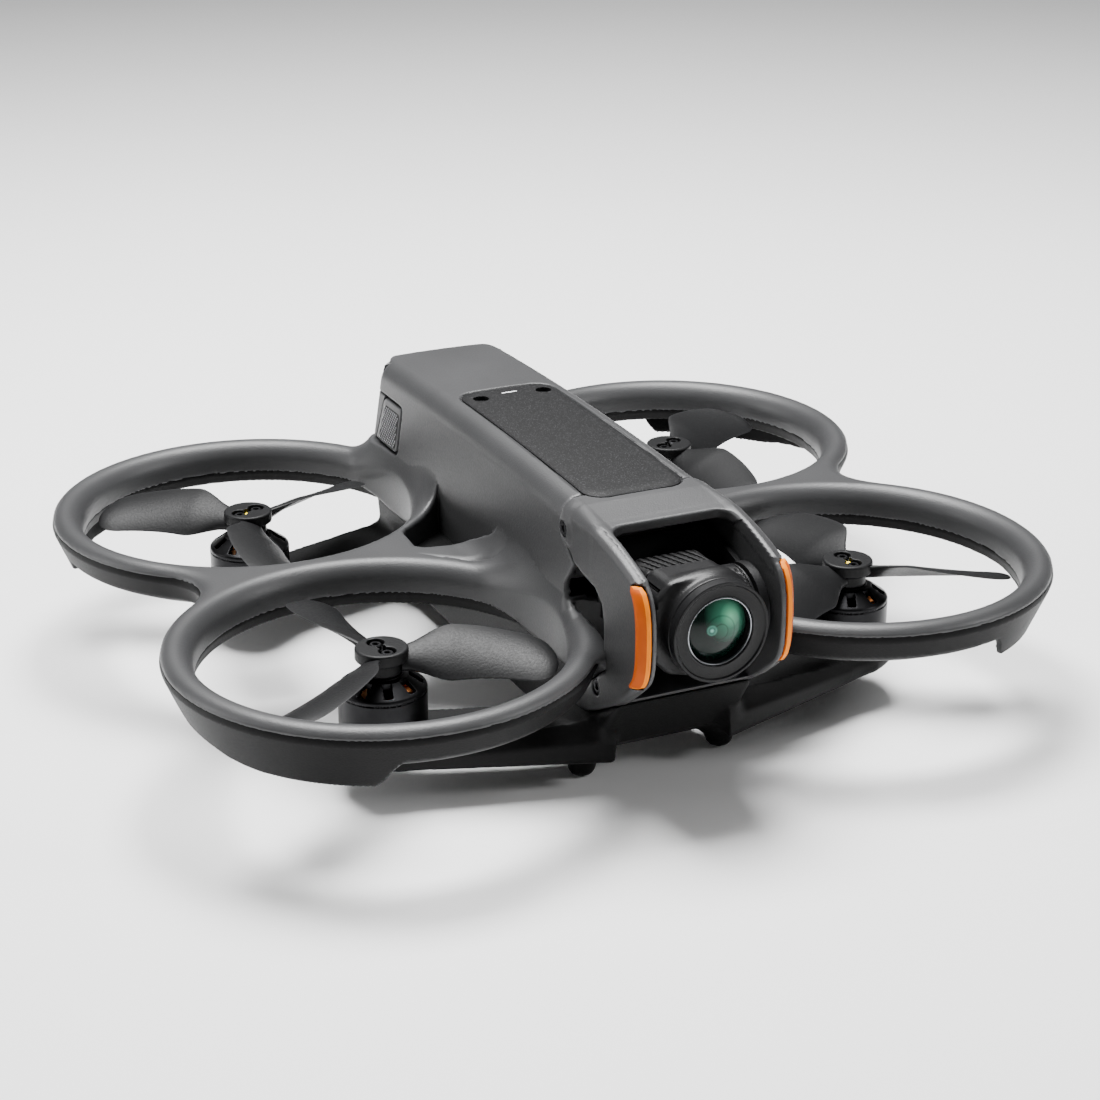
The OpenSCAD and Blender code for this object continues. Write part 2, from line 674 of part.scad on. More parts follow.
module prop_screws_front_right() prop_screws(front_right, phase_front_right);
module prop_screws_front_left() prop_screws(front_left, phase_front_left);
module prop_screws_rear_right() prop_screws(rear_right, phase_rear_right);
module prop_screws_rear_left() prop_screws(rear_left, phase_rear_left);

// ---- battery ----

case_half_w = body_half_w - wall - gap;
case_z0 = bay_floor_z + gap;
case_z1 = body_top_z - 2 - gap;
case_front_y = -bay_front_y + 4.5;

// Side view of the battery case as (y, z): its rear end follows the cap
module case_side() {
    polygon([[case_front_y, case_z0], [case_front_y, case_z1],
        [cap_y(case_z1) + gap, case_z1], [cap_y(case_z0) + gap, case_z0]]);
}

module battery_case() color([0.15, 0.15, 0.15]) difference() {
    intersection() {
        cross_prism(case_front_y, 80) round_top(case_half_w, case_z0, case_z1, 3);
        side_prism(-20, 20) case_side();
    }
    block([-cell_half_w - 0.2, case_front_y + wall, case_z0 + wall],
        [cell_half_w + 0.2, 56, case_z1 - wall]);
    both_sides() side_prism(12.6, 20) button_side(gap);
}

cell_half_w = 11;

module battery_cells() color("lightsteelblue") for (i = [0:3])
    block([-cell_half_w, case_front_y + 3, case_z0 + 1.6 + i * 4.5],
        [cell_half_w, 52, case_z0 + 6 + i * 4.5]);

// Rear face of the battery: follows the chamfered plan and leans with the rear slope
module battery_cap() color("dimgray") difference() {
    intersection() {
        side_prism(-20, 20) polygon([[cap_y(case_z1) + gap, case_z1],
            [cap_y(case_z1) + gap + 3.9, case_z1], [cap_y(case_z0) + gap + 4.2, case_z0],
            [cap_y(case_z0) + gap, case_z0]]);
        hull() {
            translate([0, 0, case_z1]) linear_extrude(0.1) shell_plan(-0.4);
            translate([0, 0, case_z0 - 0.1]) linear_extrude(0.1)
                shell_plan((case_z1 - case_z0) * rear_slope);
        }
    }
    both_sides() side_prism(12.6, 20) button_side(gap);
    translate([0, 50, 49]) rotate([-90, 0, 0]) cylinder(r = 4.3, h = 30);
    for (x = [-4.5:3:4.5]) translate([x, 50, 56]) rotate([-90, 0, 0]) cylinder(r = 0.8, h = 30, $fn = 24);
}

module battery_lights() color("palegreen") for (x = [-4.5:3:4.5])
    translate([x, 60.6, 56]) rotate([-90, 0, 0]) cylinder(r = 0.75, h = 2.6, $fn = 24);

module power_button() color([0.3, 0.3, 0.3]) translate([0, 64.95, 49]) rotate([-90, 0, 0])
    cylinder(r = 4, h = 1.65);

// Button that is pushed inwards against its spring
module release_button(sx) scale_x(sx) side_prism(14.4, body_half_w + 0.4) button_side(0);

module release_button_left() color([0.3, 0.3, 0.3]) release_button(1);
module release_button_right() color([0.3, 0.3, 0.3]) release_button(-1);

// Spring sleeve between the battery case and a release button
module release_spring(sx) color("silver") scale_x(sx) translate([12.6, 53, 46.5])
    rotate([0, 90, 0]) difference() {
        cylinder(r = 1.6, h = 1.8);
        translate([0, 0, -1]) cylinder(r = 1.1, h = 4);
    }

module release_spring_left() release_spring(1);
module release_spring_right() release_spring(-1);

upper_shell();
top_panel();
front_bumper();
bumper_stripes();
frame_screws();
lower_frame();
lower_guard_left();
lower_guard_right();
belly_cover();
vision_cameras();
infrared_sensor();
heat_sink();
main_board();
gps_module();
battery_connector();
usb_port();
card_slot();
gimbal_mount();
damper_balls();
tilt_motor();
flex_cable();
motor_base_front_right();
motor_base_front_left();
motor_base_rear_right();
motor_base_rear_left();
stator_front_right();
stator_front_left();
stator_rear_right();
stator_rear_left();
motor_bearings();
motor_bell_front_right();
motor_bell_front_left();
motor_bell_rear_right();
motor_bell_rear_left();
motor_shaft_front_right();
motor_shaft_front_left();
motor_shaft_rear_right();
motor_shaft_rear_left();
propeller_front_right();
propeller_front_left();
propeller_rear_right();
propeller_rear_left();
prop_screws_front_right();
prop_screws_front_left();
prop_screws_rear_right();
prop_screws_rear_left();
camera_body();
camera_rear_cover();
lens_barrel();
lens_glass();
filter_ring();
battery_case();
battery_cap();
battery_cells();
battery_lights();
power_button();
release_button_left();
release_button_right();
release_spring_left();
release_spring_right();
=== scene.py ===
"""Looks of a ducted first-person-view drone: moulded shells, propellers, motors, camera."""
import json
import math

import bmesh
import bpy
import numpy as np
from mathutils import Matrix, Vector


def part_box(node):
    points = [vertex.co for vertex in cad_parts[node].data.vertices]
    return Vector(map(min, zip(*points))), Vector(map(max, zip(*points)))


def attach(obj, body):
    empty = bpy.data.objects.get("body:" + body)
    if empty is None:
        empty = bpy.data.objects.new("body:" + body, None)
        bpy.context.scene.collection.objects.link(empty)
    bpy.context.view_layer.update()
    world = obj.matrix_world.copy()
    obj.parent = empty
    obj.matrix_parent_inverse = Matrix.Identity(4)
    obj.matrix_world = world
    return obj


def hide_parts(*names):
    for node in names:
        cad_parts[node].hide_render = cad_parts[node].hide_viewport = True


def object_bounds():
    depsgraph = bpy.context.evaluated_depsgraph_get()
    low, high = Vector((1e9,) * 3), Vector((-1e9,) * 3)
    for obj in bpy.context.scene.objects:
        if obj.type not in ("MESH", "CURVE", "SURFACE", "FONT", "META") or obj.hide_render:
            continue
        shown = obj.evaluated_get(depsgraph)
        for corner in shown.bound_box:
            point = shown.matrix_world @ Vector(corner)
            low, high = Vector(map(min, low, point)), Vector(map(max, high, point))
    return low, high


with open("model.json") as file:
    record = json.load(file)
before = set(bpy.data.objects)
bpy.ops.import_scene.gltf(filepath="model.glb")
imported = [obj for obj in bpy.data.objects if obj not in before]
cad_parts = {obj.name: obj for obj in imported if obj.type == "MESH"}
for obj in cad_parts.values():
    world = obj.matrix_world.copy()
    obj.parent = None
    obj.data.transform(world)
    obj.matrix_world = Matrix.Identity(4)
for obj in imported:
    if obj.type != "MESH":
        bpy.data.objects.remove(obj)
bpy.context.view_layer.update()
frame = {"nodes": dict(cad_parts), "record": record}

import openvdb
from mathutils import Matrix, Vector

MM = 0.001

# ---- places and sizes in millimetres, some read from the frame, the rest given ----

JOINTS = {j["name"]: j for j in frame["record"]["behaviour"]["joints"]}
ROTOR_NAMES = [n[len("spin_"):] for n in JOINTS if n.startswith("spin_")]
ROTORS = {n: np.array(JOINTS["spin_" + n]["pos_m"][:2]) / MM for n in ROTOR_NAMES}
ROTOR_X, ROTOR_Y = abs(ROTORS["front_left"])
TILT_Y, TILT_Z = np.array(JOINTS["camera_tilt"]["pos_m"][1:]) / MM
LENS_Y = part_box("filter_ring")[0][1] / MM
FILTER_R = (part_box("filter_ring")[1][0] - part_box("filter_ring")[0][0]) / 2 / MM
HALF_W = 17.5  # half width of the fuselage
RING_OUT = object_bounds()[1][0] / MM - ROTOR_X  # outer radius of a guard ring
RING_IN, BEAD_IN = 39.8, 44.2  # radius of a duct, and where its rounded bead begins
RING_TOP = 35.8
SEAM_IN, SEAM_OUT = 27.8, 33.6  # height of the seam under the lips, inside and outside
BAND_IN, FIN_Z = 25.3, 21.3  # lower edges of the guard band and of its outer fin
BODY_TOP = 63.2
HUB_TOP = 33.0
BELL_R = 9.75
SLOT_STEP = 2 * math.pi / 9  # angle between motor slots
PANEL_Y, PANEL_DEPTH = -14.6, 0.7  # middle of the top panel, and depth of its recess
REAR_Y, REAR_Z, REAR_SLOPE = 63.0, 60.6, 0.362  # a point and the slope of the rear face


# ---- signed distances, negative inside ----

def box2(px, py, hx, hy, r=0.0):
    """Rectangle with half sizes hx, hy and corner radius r."""
    qx, qy = abs(px) - hx + r, abs(py) - hy + r
    return np.minimum(np.maximum(qx, qy), 0) + np.hypot(np.maximum(qx, 0), np.maximum(qy, 0)) - r


def poly2(px, py, points):
    """Closed outline of (x, y) points."""
    px, py = np.broadcast_arrays(px, py)
    best = np.full(px.shape, 1e9, dtype=np.float32)
    inside = np.zeros(px.shape, dtype=bool)
    for (x0, y0), (x1, y1) in zip(points, points[1:] + points[:1]):
        ex, ey = x1 - x0, y1 - y0
        wx, wy = px - x0, py - y0
        t = np.clip((wx * ex + wy * ey) / (ex * ex + ey * ey), 0, 1)
        best = np.minimum(best, (wx - ex * t) ** 2 + (wy - ey * t) ** 2)
        crosses = (y0 > py) != (y1 > py)
        if ey:
            inside ^= crosses & (wx < ex * wy / ey)
    return np.where(inside, -1, 1) * np.sqrt(best)


def join(a, b, r):
    """Union with a fillet of radius r."""
    return np.maximum(r, np.minimum(a, b)) - np.hypot(np.maximum(r - a, 0), np.maximum(r - b, 0))


def common(a, b, r=0.0):
    """Intersection with a rounded edge of radius r."""
    return np.minimum(-r, np.maximum(a, b)) + np.hypot(np.maximum(r + a, 0), np.maximum(r + b, 0))


def cut(a, b, r=0.0):
    """a without b, with a rounded edge."""
    return common(a, -b, r)


def oval_edge(a, b, ra, rb):
    """Intersection whose edge is a quarter ellipse, ra along a and rb along b."""
    u, v = np.maximum(a + ra, 0) / ra, np.maximum(b + rb, 0) / rb
    arc = (np.hypot(u, v) - 1) * (ra * u + rb * v) / np.maximum(u + v, 1e-6)
    return np.where((u > 0) & (v > 0), arc, np.maximum(a, b))


def slab(v, low, high):
    """Between two values."""
    return np.maximum(low - v, v - high)


def smooth(v, v0, v1):
    """0 below v0, 1 above v1, an S curve between."""
    t = np.clip((v - v0) / (v1 - v0), 0, 1)
    return t * t * (3 - 2 * t)


# ---- meshes ----

def add_object(name, data):
    """Puts a mesh, light or camera into the scene."""
    ob = bpy.data.objects.new(name, data)
    bpy.context.scene.collection.objects.link(ob)
    return ob


def shade(mesh, degrees):
    """Smooth shading, broken at edges sharper than this."""
    mesh.shade_smooth()
    mesh.set_sharp_from_angle(angle=math.radians(degrees))


def face_outwards(ob, weld=False):
    """Turns all faces outwards; weld joins vertices that coincide first."""
    bm = bmesh.new()
    bm.from_mesh(ob.data)
    if weld:
        bmesh.ops.remove_doubles(bm, verts=bm.verts, dist=1e-7)
    bmesh.ops.recalc_face_normals(bm, faces=bm.faces)
    bm.to_mesh(ob.data)
    bm.free()


def tube_faces(rings, n, base=0):
    """Faces of a tube through rings of n points each, with flat ends."""
    faces = []
    for i in range(rings - 1):
        a, b = base + i * n, base + (i + 1) * n
        faces += [(a + k, a + (k + 1) % n, b + (k + 1) % n, b + k) for k in range(n)]
    faces.append(tuple(base + k for k in range(n - 1, -1, -1)))
    faces.append(tuple(base + (rings - 1) * n + k for k in range(n)))
    return faces


def collect(name, verts, faces, normals=None, sharp=None):
    """An object in metres from vertices in millimetres."""
    mesh = bpy.data.meshes.new(name)
    mesh.from_pydata((np.asarray(verts, dtype=float) * MM).tolist(), [], [list(f) for f in faces])
    mesh.update()
    mesh.shade_smooth()
    if normals is not None:
        mesh.normals_split_custom_set_from_vertices(normals.tolist())
    elif sharp:
        shade(mesh, sharp)
    return add_object(name, mesh)


def mesh_field(name, field, low, high, cell, mirrored=False):
    """Surface of field(x, y, z) = 0 as a mesh whose vertices lie on it."""
    counts = [int(math.ceil((h - l) / cell)) + 1 for l, h in zip(low, high)]
    axes = [np.float32(l) + np.float32(cell) * np.arange(n, dtype=np.float32)
            for l, n in zip(low, counts)]
    if mirrored:
        axes[0] = np.float32(cell) * (np.arange(counts[0], dtype=np.float32) + np.float32(0.5))
    grids = np.meshgrid(*axes, indexing="ij", sparse=True)
    values = np.broadcast_to(field(*grids), counts).astype(np.float32)
    start = np.array([axes[0][0], low[1], low[2]])
    if mirrored:
        values = np.concatenate([values[::-1], values])
        start[0] = -axes[0][-1]
    values = np.clip(np.pad(values, 1, constant_values=3 * cell), -3 * cell, 3 * cell)
    grid = openvdb.FloatGrid(3 * cell)
    grid.copyFromArray(np.ascontiguousarray(values))
    points, tris, quads = grid.convertToPolygons(isovalue=0.0, adaptivity=0.0)
    points = points.astype(np.float64) * cell + start - cell
    step = 0.05
    for turn in range(3):  # two steps towards the surface, then only its normals
        here = field(*points.T)
        slope = np.stack([(field(*(points + step * e).T) - field(*(points - step * e).T))
                          / (2 * step) for e in np.eye(3)], axis=1)
        size = np.maximum((slope ** 2).sum(1), 0.04)
        if turn < 2:
            move = -slope * (here / size)[:, None]
            length = np.maximum(np.linalg.norm(move, axis=1), 1e-9)
            points += move * np.minimum(1, 0.6 * cell / length)[:, None]
    normals = slope / np.maximum(np.linalg.norm(slope, axis=1), 1e-9)[:, None]
    faces = np.array(quads, dtype=np.int64).reshape(-1, 4)
    a, b, c = (points[faces[:, k]] for k in (0, 1, 2))
    if ((np.cross(b - a, c - a) * normals[faces[:, 0]]).sum(1) < 0).mean() > 0.5:
        faces = faces[:, ::-1]
    polys = faces.tolist() + np.array(tris, dtype=np.int64).reshape(-1, 3).tolist()
    return collect(name, points, polys, normals)


def lathe(name, profile, segments=96, hexed=(), sharp=35):
    """Turns a closed profile of (radius, height) about +Z; the points listed in hexed make a hexagon."""
    verts, faces = [], []
    for s in range(segments):
        a = 2 * math.pi * s / segments
        six = math.cos(math.pi / 6) / math.cos(a % (math.pi / 3) - math.pi / 6)
        verts += [(r * math.cos(a) * (six if k in hexed else 1),
                   r * math.sin(a) * (six if k in hexed else 1), z)
                  for k, (r, z) in enumerate(profile)]
    n = len(profile)
    for s in range(segments):
        t = (s + 1) % segments
        for k in range(n):
            m = (k + 1) % n
            faces.append((s * n + k, t * n + k, t * n + m, s * n + m))
    ob = collect(name, verts, faces)
    face_outwards(ob, weld=True)
    shade(ob.data, sharp)
    return ob


def apply(ob, matrix):
    """Moves the mesh itself by a matrix whose lengths are millimetres."""
    m = matrix.copy()
    m.translation *= MM
    ob.data.transform(m)
    return ob


def from_bmesh(name, bm, sharp):
    """Object from a bmesh, which is freed."""
    mesh = bpy.data.meshes.new(name)
    bm.to_mesh(mesh)
    bm.free()
    shade(mesh, sharp)
    return add_object(name, mesh)


def merged(name, parts):
    """One object from several."""
    bm = bmesh.new()
    for ob in parts:
        bm.from_mesh(ob.data)
        bpy.data.objects.remove(ob, do_unlink=True)
    return from_bmesh(name, bm, 35)


def plate(name, outline, z0, z1, bevel):
    """Flat plate of an (x, y) outline with bevelled edges."""
    bm = bmesh.new()
    ring = [bm.verts.new((x * MM, y * MM, z0 * MM)) for x, y in outline]
    face = bm.faces.new(ring)
    top = bmesh.ops.extrude_face_region(bm, geom=[face])["geom"]
    bmesh.ops.translate(bm, vec=(0, 0, (z1 - z0) * MM),
                        verts=[g for g in top if isinstance(g, bmesh.types.BMVert)])
    bmesh.ops.recalc_face_normals(bm, faces=bm.faces)
    rims = [e for e in bm.edges if len(e.link_faces) == 2
            and e.link_faces[0].normal.dot(e.link_faces[1].normal) < 0.5
            and abs(e.verts[0].co.z - e.verts[1].co.z) < 1e-7]
    bmesh.ops.bevel(bm, geom=rims, offset=bevel * MM, segments=3, profile=0.5, affect="EDGES")
    return from_bmesh(name, bm, 30)


def round_outline(w, h, r, cx=0.0, cy=0.0, steps=8):
    """Rectangle outline with round corners."""
    points = []
    for k, (sx, sy) in enumerate(((1, 1), (-1, 1), (-1, -1), (1, -1))):
        for i in range(steps + 1):
            a = math.pi / 2 * (k + i / steps)
            points.append((cx + sx * (w / 2 - r) + r * math.cos(a),
                           cy + sy * (h / 2 - r) + r * math.sin(a)))
    return points


def smooth_path(points, steps=6):
    """Denser path through points (Catmull-Rom)."""
    p = [points[0]] + list(points) + [points[-1]]
    out = []
    for i in range(1, len(p) - 2):
        a, b, c, d = (np.array(q) for q in p[i - 1:i + 3])
        for k in range(steps):
            t = k / steps
            out.append(tuple(0.5 * (2 * b + (c - a) * t + (2 * a - 5 * b + 4 * c - d) * t * t
                                    + (3 * b - a - 3 * c + d) * t ** 3)))
    return out + [points[-1]]


def rounded(points, r, steps=6):
    """Outline with its corners rounded by arcs of about radius r."""
    out = []
    n = len(points)
    for i in range(n):
        here, back, ahead = (np.array(points[k % n], dtype=float) for k in (i, i - 1, i + 1))
        a = here + (back - here) / np.linalg.norm(back - here) * r
        b = here + (ahead - here) / np.linalg.norm(ahead - here) * r
        for k in range(steps + 1):
            t = k / steps
            out.append(tuple((1 - t) ** 2 * a + 2 * t * (1 - t) * here + t * t * b))
    return out


# ---- materials ----

class Nodes:
    """One material and short ways to wire it."""

    def __init__(self, name, rough, metal=0.0, coat=0.0, coat_rough=0.1, ior=1.5):
        self.mat = bpy.data.materials.new(name)
        self.mat.use_nodes = True
        self.tree = self.mat.node_tree
        self.shader = self.tree.nodes["Principled BSDF"]
        s = self.shader.inputs
        s["Roughness"].default_value = rough
        s["Metallic"].default_value = metal
        s["Coat Weight"].default_value = coat
        s["Coat Roughness"].default_value = coat_rough
        s["IOR"].default_value = ior
        self.place = self.add("ShaderNodeTexCoord").outputs["Object"]

    def add(self, kind, **settings):
        node = self.tree.nodes.new(kind)
        for key, value in settings.items():
            setattr(node, key, value)
        return node

    def link(self, a, b):
        self.tree.links.new(a, b)

    def noise(self, scale, detail=2.0, rough=0.5):
        node = self.add("ShaderNodeTexNoise")
        node.inputs["Scale"].default_value = scale
        node.inputs["Detail"].default_value = detail
        node.inputs["Roughness"].default_value = rough
        self.link(self.place, node.inputs["Vector"])
        return node.outputs["Fac"]

    def ramp(self, fac, stops):
        node = self.add("ShaderNodeValToRGB")
        while len(node.color_ramp.elements) < len(stops):
            node.color_ramp.elements.new(0.5)
        for e, (at, colour) in zip(node.color_ramp.elements, stops):
            e.position = at
            e.color = (*colour, 1)
        self.link(fac, node.inputs["Fac"])
        return node.outputs["Color"]

    def spread(self, fac, low, high, start=0.0, end=1.0):
        """fac from start to end becomes low to high."""
        node = self.add("ShaderNodeMapRange")
        for socket, value in (("From Min", start), ("From Max", end), ("To Min", low), ("To Max", high)):
            node.inputs[socket].default_value = value
        self.link(fac, node.inputs["Value"])
        return node.outputs["Result"]

    def vector(self, kind, a, b=(0, 0, 0), out="Vector"):
        node = self.add("ShaderNodeVectorMath", operation=kind)
        node.inputs[1].default_value = b
        self.link(a, node.inputs[0])
        return node.outputs[out]

    def mix(self, fac, a, b, kind="MIX"):
        node = self.add("ShaderNodeMix", data_type="RGBA", blend_type=kind)
        for socket, value in ((0, fac), (6, a), (7, b)):
            if isinstance(value, bpy.types.NodeSocket):
                self.link(value, node.inputs[socket])
            else:
                node.inputs[socket].default_value = value
        return node.outputs[2]

    def colour(self, socket):
        self.link(socket, self.shader.inputs["Base Color"])

    def rough(self, socket):
        self.link(socket, self.shader.inputs["Roughness"])

    def bump(self, height, strength, distance):
        node = self.add("ShaderNodeBump")
        node.inputs["Strength"].default_value = strength
        node.inputs["Distance"].default_value = distance
        self.link(height, node.inputs["Height"])
        self.link(node.outputs["Normal"], self.shader.inputs["Normal"])


def plastic(name, colour, rough, shine=0.5, coat=0.0, grain=2600.0):
    """Moulded plastic with a spark-eroded grain, faint random changes of tone and paler edges, partly
    rubbed wear and partly a painted highlight.
    """
    n = Nodes(name, rough, coat=coat)
    n.shader.inputs["Specular IOR Level"].default_value = shine
    base = np.array(colour)
    flat = n.ramp(n.noise(45.0, 3.0), [(0.3, base * 0.88), (0.7, base * 1.12)])
    # paler edges from pointiness: partly rubbed wear, partly a painted highlight along them
    rubbed_and_highlit = (*np.minimum(base * 2.2, 1.0), 1.0)
    edges = n.add("ShaderNodeNewGeometry").outputs["Pointiness"]
    n.colour(n.mix(n.spread(edges, 0.0, 1.0, 0.515, 0.6), flat, rubbed_and_highlit))
    fine = n.noise(grain, 1.0)
    n.rough(n.spread(fine, rough - 0.1, rough + 0.1))
    n.bump(fine, 0.9, 0.00004)
    return n.mat


def sparkle_plastic():
    """Dark panel with fine bright grains."""
    n = Nodes("panel_dark", 0.6)
    n.shader.inputs["Specular IOR Level"].default_value = 0.15
    cells = n.add("ShaderNodeTexVoronoi")
    cells.inputs["Scale"].default_value = 5200.0
    n.link(n.place, cells.inputs["Vector"])
    split = n.add("ShaderNodeSeparateColor")
    n.link(cells.outputs["Color"], split.inputs["Color"])
    stops = [(0.0, (0.002, 0.002, 0.0022)), (0.85, (0.005, 0.005, 0.0054)), (0.97, (0.03, 0.03, 0.032))]
    n.colour(n.ramp(split.outputs["Red"], stops))
    n.bump(n.noise(3000.0, 1.0), 0.5, 0.00004)
    return n.mat


def metal(name, colour, rough, scratch=400.0):
    """Metal with fine marks in its shade and gloss."""
    n = Nodes(name, rough, metal=1.0)
    base = np.array(colour)
    marks = n.noise(scratch, 4.0, 0.6)
    n.colour(n.ramp(marks, [(0.3, base * 0.85), (0.7, np.minimum(base * 1.1, 1))]))
    n.rough(n.spread(marks, rough - 0.07, rough + 0.1))
    n.bump(marks, 0.2, 0.00002)
    return n.mat


def orange(name, low, high):
    """Satin orange with slight cloudiness."""
    n = Nodes(name, 0.5)
    n.shader.inputs["Specular IOR Level"].default_value = 0.12
    n.colour(n.ramp(n.noise(160.0, 2.0), [(0.3, low), (0.7, high)]))
    n.rough(n.spread(n.noise(300.0, 2.0), 0.44, 0.56))
    n.bump(n.noise(900.0, 1.0), 0.15, 0.00002)
    return n.mat


def coated_glass():
    """Domed front glass: near black, with faint lens edges inside, one painted soft green highlight and a
    small painted glint.
    """
    n = Nodes("lens_glass", 0.16, ior=1.3)

    def around(cx, cz, reach):
        """Distance from a point of the glass, 1 at reach."""
        move = n.vector("SUBTRACT", n.place, (cx * MM, 0.0, (TILT_Z + cz) * MM))
        flat = n.vector("MULTIPLY", move, (1.0, 0.0, 1.0))
        return n.spread(n.vector("LENGTH", flat, out="Value"), 0.0, 1.0, 0.0, reach * MM)

    # painted highlight: a soft green pool of light painted into the colour, up and to the right of the
    # centre
    painted_sheen = n.ramp(around(2.6, 3.1, 6.2), [
        (0.0, (0.16, 0.5, 0.3)), (0.45, (0.03, 0.13, 0.08)), (1.0, (0.0008, 0.006, 0.004))])
    steps = n.ramp(around(0.0, 0.0, 7.3), [
        (0.0, (0.9, 0.9, 0.9)), (0.2, (1, 1, 1)), (0.23, (0.4, 0.45, 0.45)), (0.27, (0.85, 0.9, 0.9)),
        (0.44, (0.9, 0.95, 0.95)), (0.47, (0.55, 0.6, 0.6)), (0.52, (1, 1, 1)), (0.88, (0.9, 0.9, 0.9)),
        (1.0, (0.3, 0.3, 0.3))])
    both = n.mix(1.0, painted_sheen, steps, "MULTIPLY")
    # painted glint: a small bright reflection painted left of the centre
    painted_glint = n.ramp(around(-2.0, 0.6, 1.6), [
        (0.0, (0.25, 0.6, 0.5)), (0.35, (0.02, 0.08, 0.06)), (0.6, (0.05, 0.16, 0.12)), (0.8, (0, 0, 0))])
    n.colour(n.mix(1.0, both, painted_glint, "ADD"))
    n.bump(n.noise(60.0, 1.0), 0.05, 0.00002)
    return n.mat


def copper():
    """Enamelled windings: fine parallel turns."""
    n = Nodes("copper_winding", 0.32, metal=1.0)
    wave = n.add("ShaderNodeTexWave", bands_direction="Z")
    wave.inputs["Scale"].default_value = 700.0
    wave.inputs["Distortion"].default_value = 0.4
    n.link(n.place, wave.inputs["Vector"])
    n.colour(n.ramp(wave.outputs["Fac"], [(0.2, (0.25, 0.08, 0.02)), (0.8, (0.85, 0.38, 0.14))]))
    n.bump(wave.outputs["Fac"], 0.7, 0.0001)
    return n.mat


def circuit_green():
    """Lacquered board."""
    n = Nodes("circuit_board", 0.35, coat=0.4)
    n.colour(n.ramp(n.noise(700.0, 2.0), [(0.45, (0.005, 0.05, 0.02)), (0.6, (0.012, 0.11, 0.045))]))
    n.bump(n.noise(700.0, 2.0), 0.3, 0.00005)
    return n.mat


# colour, roughness, specular level, coat, grain scale
PLASTICS = {
    "shell_grey": ((0.033, 0.0333, 0.0345), 0.44, 0.4),
    "frame_black": ((0.0035, 0.0035, 0.0037), 0.5, 0.12),
    "sensor_black": ((0.006, 0.006, 0.009), 0.15, 0.5, 1.0),
    "ceramic_tan": ((0.45, 0.38, 0.28), 0.5),
    "camera_black": ((0.004, 0.004, 0.0042), 0.42, 0.15),
    "camera_charcoal": ((0.007, 0.007, 0.0074), 0.38, 0.25),
    "damper_rubber": ((0.01, 0.01, 0.01), 0.7),
    "flex_film": ((0.08, 0.035, 0.012), 0.25, 0.5, 0.6),
    "filter_black": ((0.005, 0.005, 0.0053), 0.36, 0.18),
    "light_window": ((0.55, 0.85, 0.6), 0.3, 0.5, 0.5),
    "button_grey": ((0.045, 0.0455, 0.047), 0.42, 0.4),
    "propeller_grey": ((0.0065, 0.0066, 0.007), 0.46, 0.16, 0.0, 1800.0),
    "dot_yellow": ((0.85, 0.42, 0.02), 0.4),
    # shadow_gap is painted shade between the knurl pyramids; the paler knurl grey is their painted
    # highlight
    "shadow_gap": ((0.003, 0.003, 0.003), 0.7),
    "knurl_highlit_grey": ((0.16, 0.16, 0.165), 0.45),
    "printed_pale": ((0.42, 0.42, 0.43), 0.5),
}
# colour, roughness, scale of the marks
METALS = {
    "screw_black": ((0.03, 0.03, 0.032), 0.38),
    "heat_sink_aluminium": ((0.72, 0.72, 0.74), 0.45),
    "contact_brass": ((0.85, 0.62, 0.25), 0.28),
    "port_steel": ((0.6, 0.6, 0.62), 0.3),
    "cell_foil": ((0.6, 0.62, 0.65), 0.35),
    "spring_steel": ((0.55, 0.55, 0.57), 0.25),
    "motor_black": ((0.018, 0.018, 0.019), 0.34, 250.0),
    "lens_silver": ((0.3, 0.31, 0.33), 0.3),
}
MATERIALS = {
    **{name: plastic(name, *look) for name, look in PLASTICS.items()},
    **{name: metal(name, *look) for name, look in METALS.items()},
    "panel_dark": sparkle_plastic(),
    "stripe_orange": orange("stripe_orange", (0.43, 0.066, 0.0), (0.5, 0.08, 0.0)),
    # the brighter copy of the stripe orange, used on the front facets, is painted light
    "stripe_front_lit": orange("stripe_front_lit", (0.8, 0.2, 0.0), (0.9, 0.24, 0.0)),
    "circuit_board": circuit_green(),
    "lens_glass": coated_glass(),
    "copper_winding": copper(),
}


def finish_piece(ob, slot, body, *nodes, extra=()):
    """Gives a piece its material and any extra ones, parents it to its body and hides the nodes it stands
    for.
    """
    ob.data.materials.clear()
    for name in (slot, *extra):
        ob.data.materials.append(MATERIALS[name])
    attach(ob, body)
    if nodes:
        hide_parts(*nodes)
    return ob


# ---- upper shell ----

POCKET = [(10.0, -16.0), (17.2, -13.2), (18.4, -9.2), (20.4, -5.4), (23.6, -3.5), (30.8, -2.0),
          (32.3, -0.4), (31.6, 9.0), (30.2, 11.2), (18.2, 20.6), (17.2, 21.4), (10.0, 28.0)]
SHELL_SIDE = [(-48.4, 70.0), (90.0, 70.0), (90.0, 24.0), (-58.0, 24.0), (-59.8, 22.4),
              (-70.0, 30.9), (-61.7, 32.6), (-55.6, 33.5), (-51.2, 35.6), (-49.8, 38.6),
              (-50.4, 42.4), (-54.6, 48.2), (-50.3, 52.4), (-48.4, 54.6)]
LEG_FRONT = [(-85.5, 54.3), (-87.8, 51.0), (-88.8, 46.0), (-88.8, 39.0), (-87.8, 34.5),
             (-85.5, 31.5)]
LEG = [(-48.75, 62.2), (-54.0, 61.7), (-62.0, 60.6),
       *smooth_path([(-72.0, 58.8), (-79.5, 56.8), *LEG_FRONT, (-79.5, 26.5)], 3),
       (-75.5, 23.8), (-62.0, 16.3), (-51.0, 12.3), (-59.9, 22.0), (-70.3, 30.6), (-69.4, 33.2),
       (-69.2, 40.6), (-68.4, 44.1), (-65.4, 46.5), (-59.4, 47.3), (-54.6, 48.6), (-50.5, 52.4),
       (-48.75, 54.8)]
LEG_IN, LEG_OUT = 14.7, 17.9
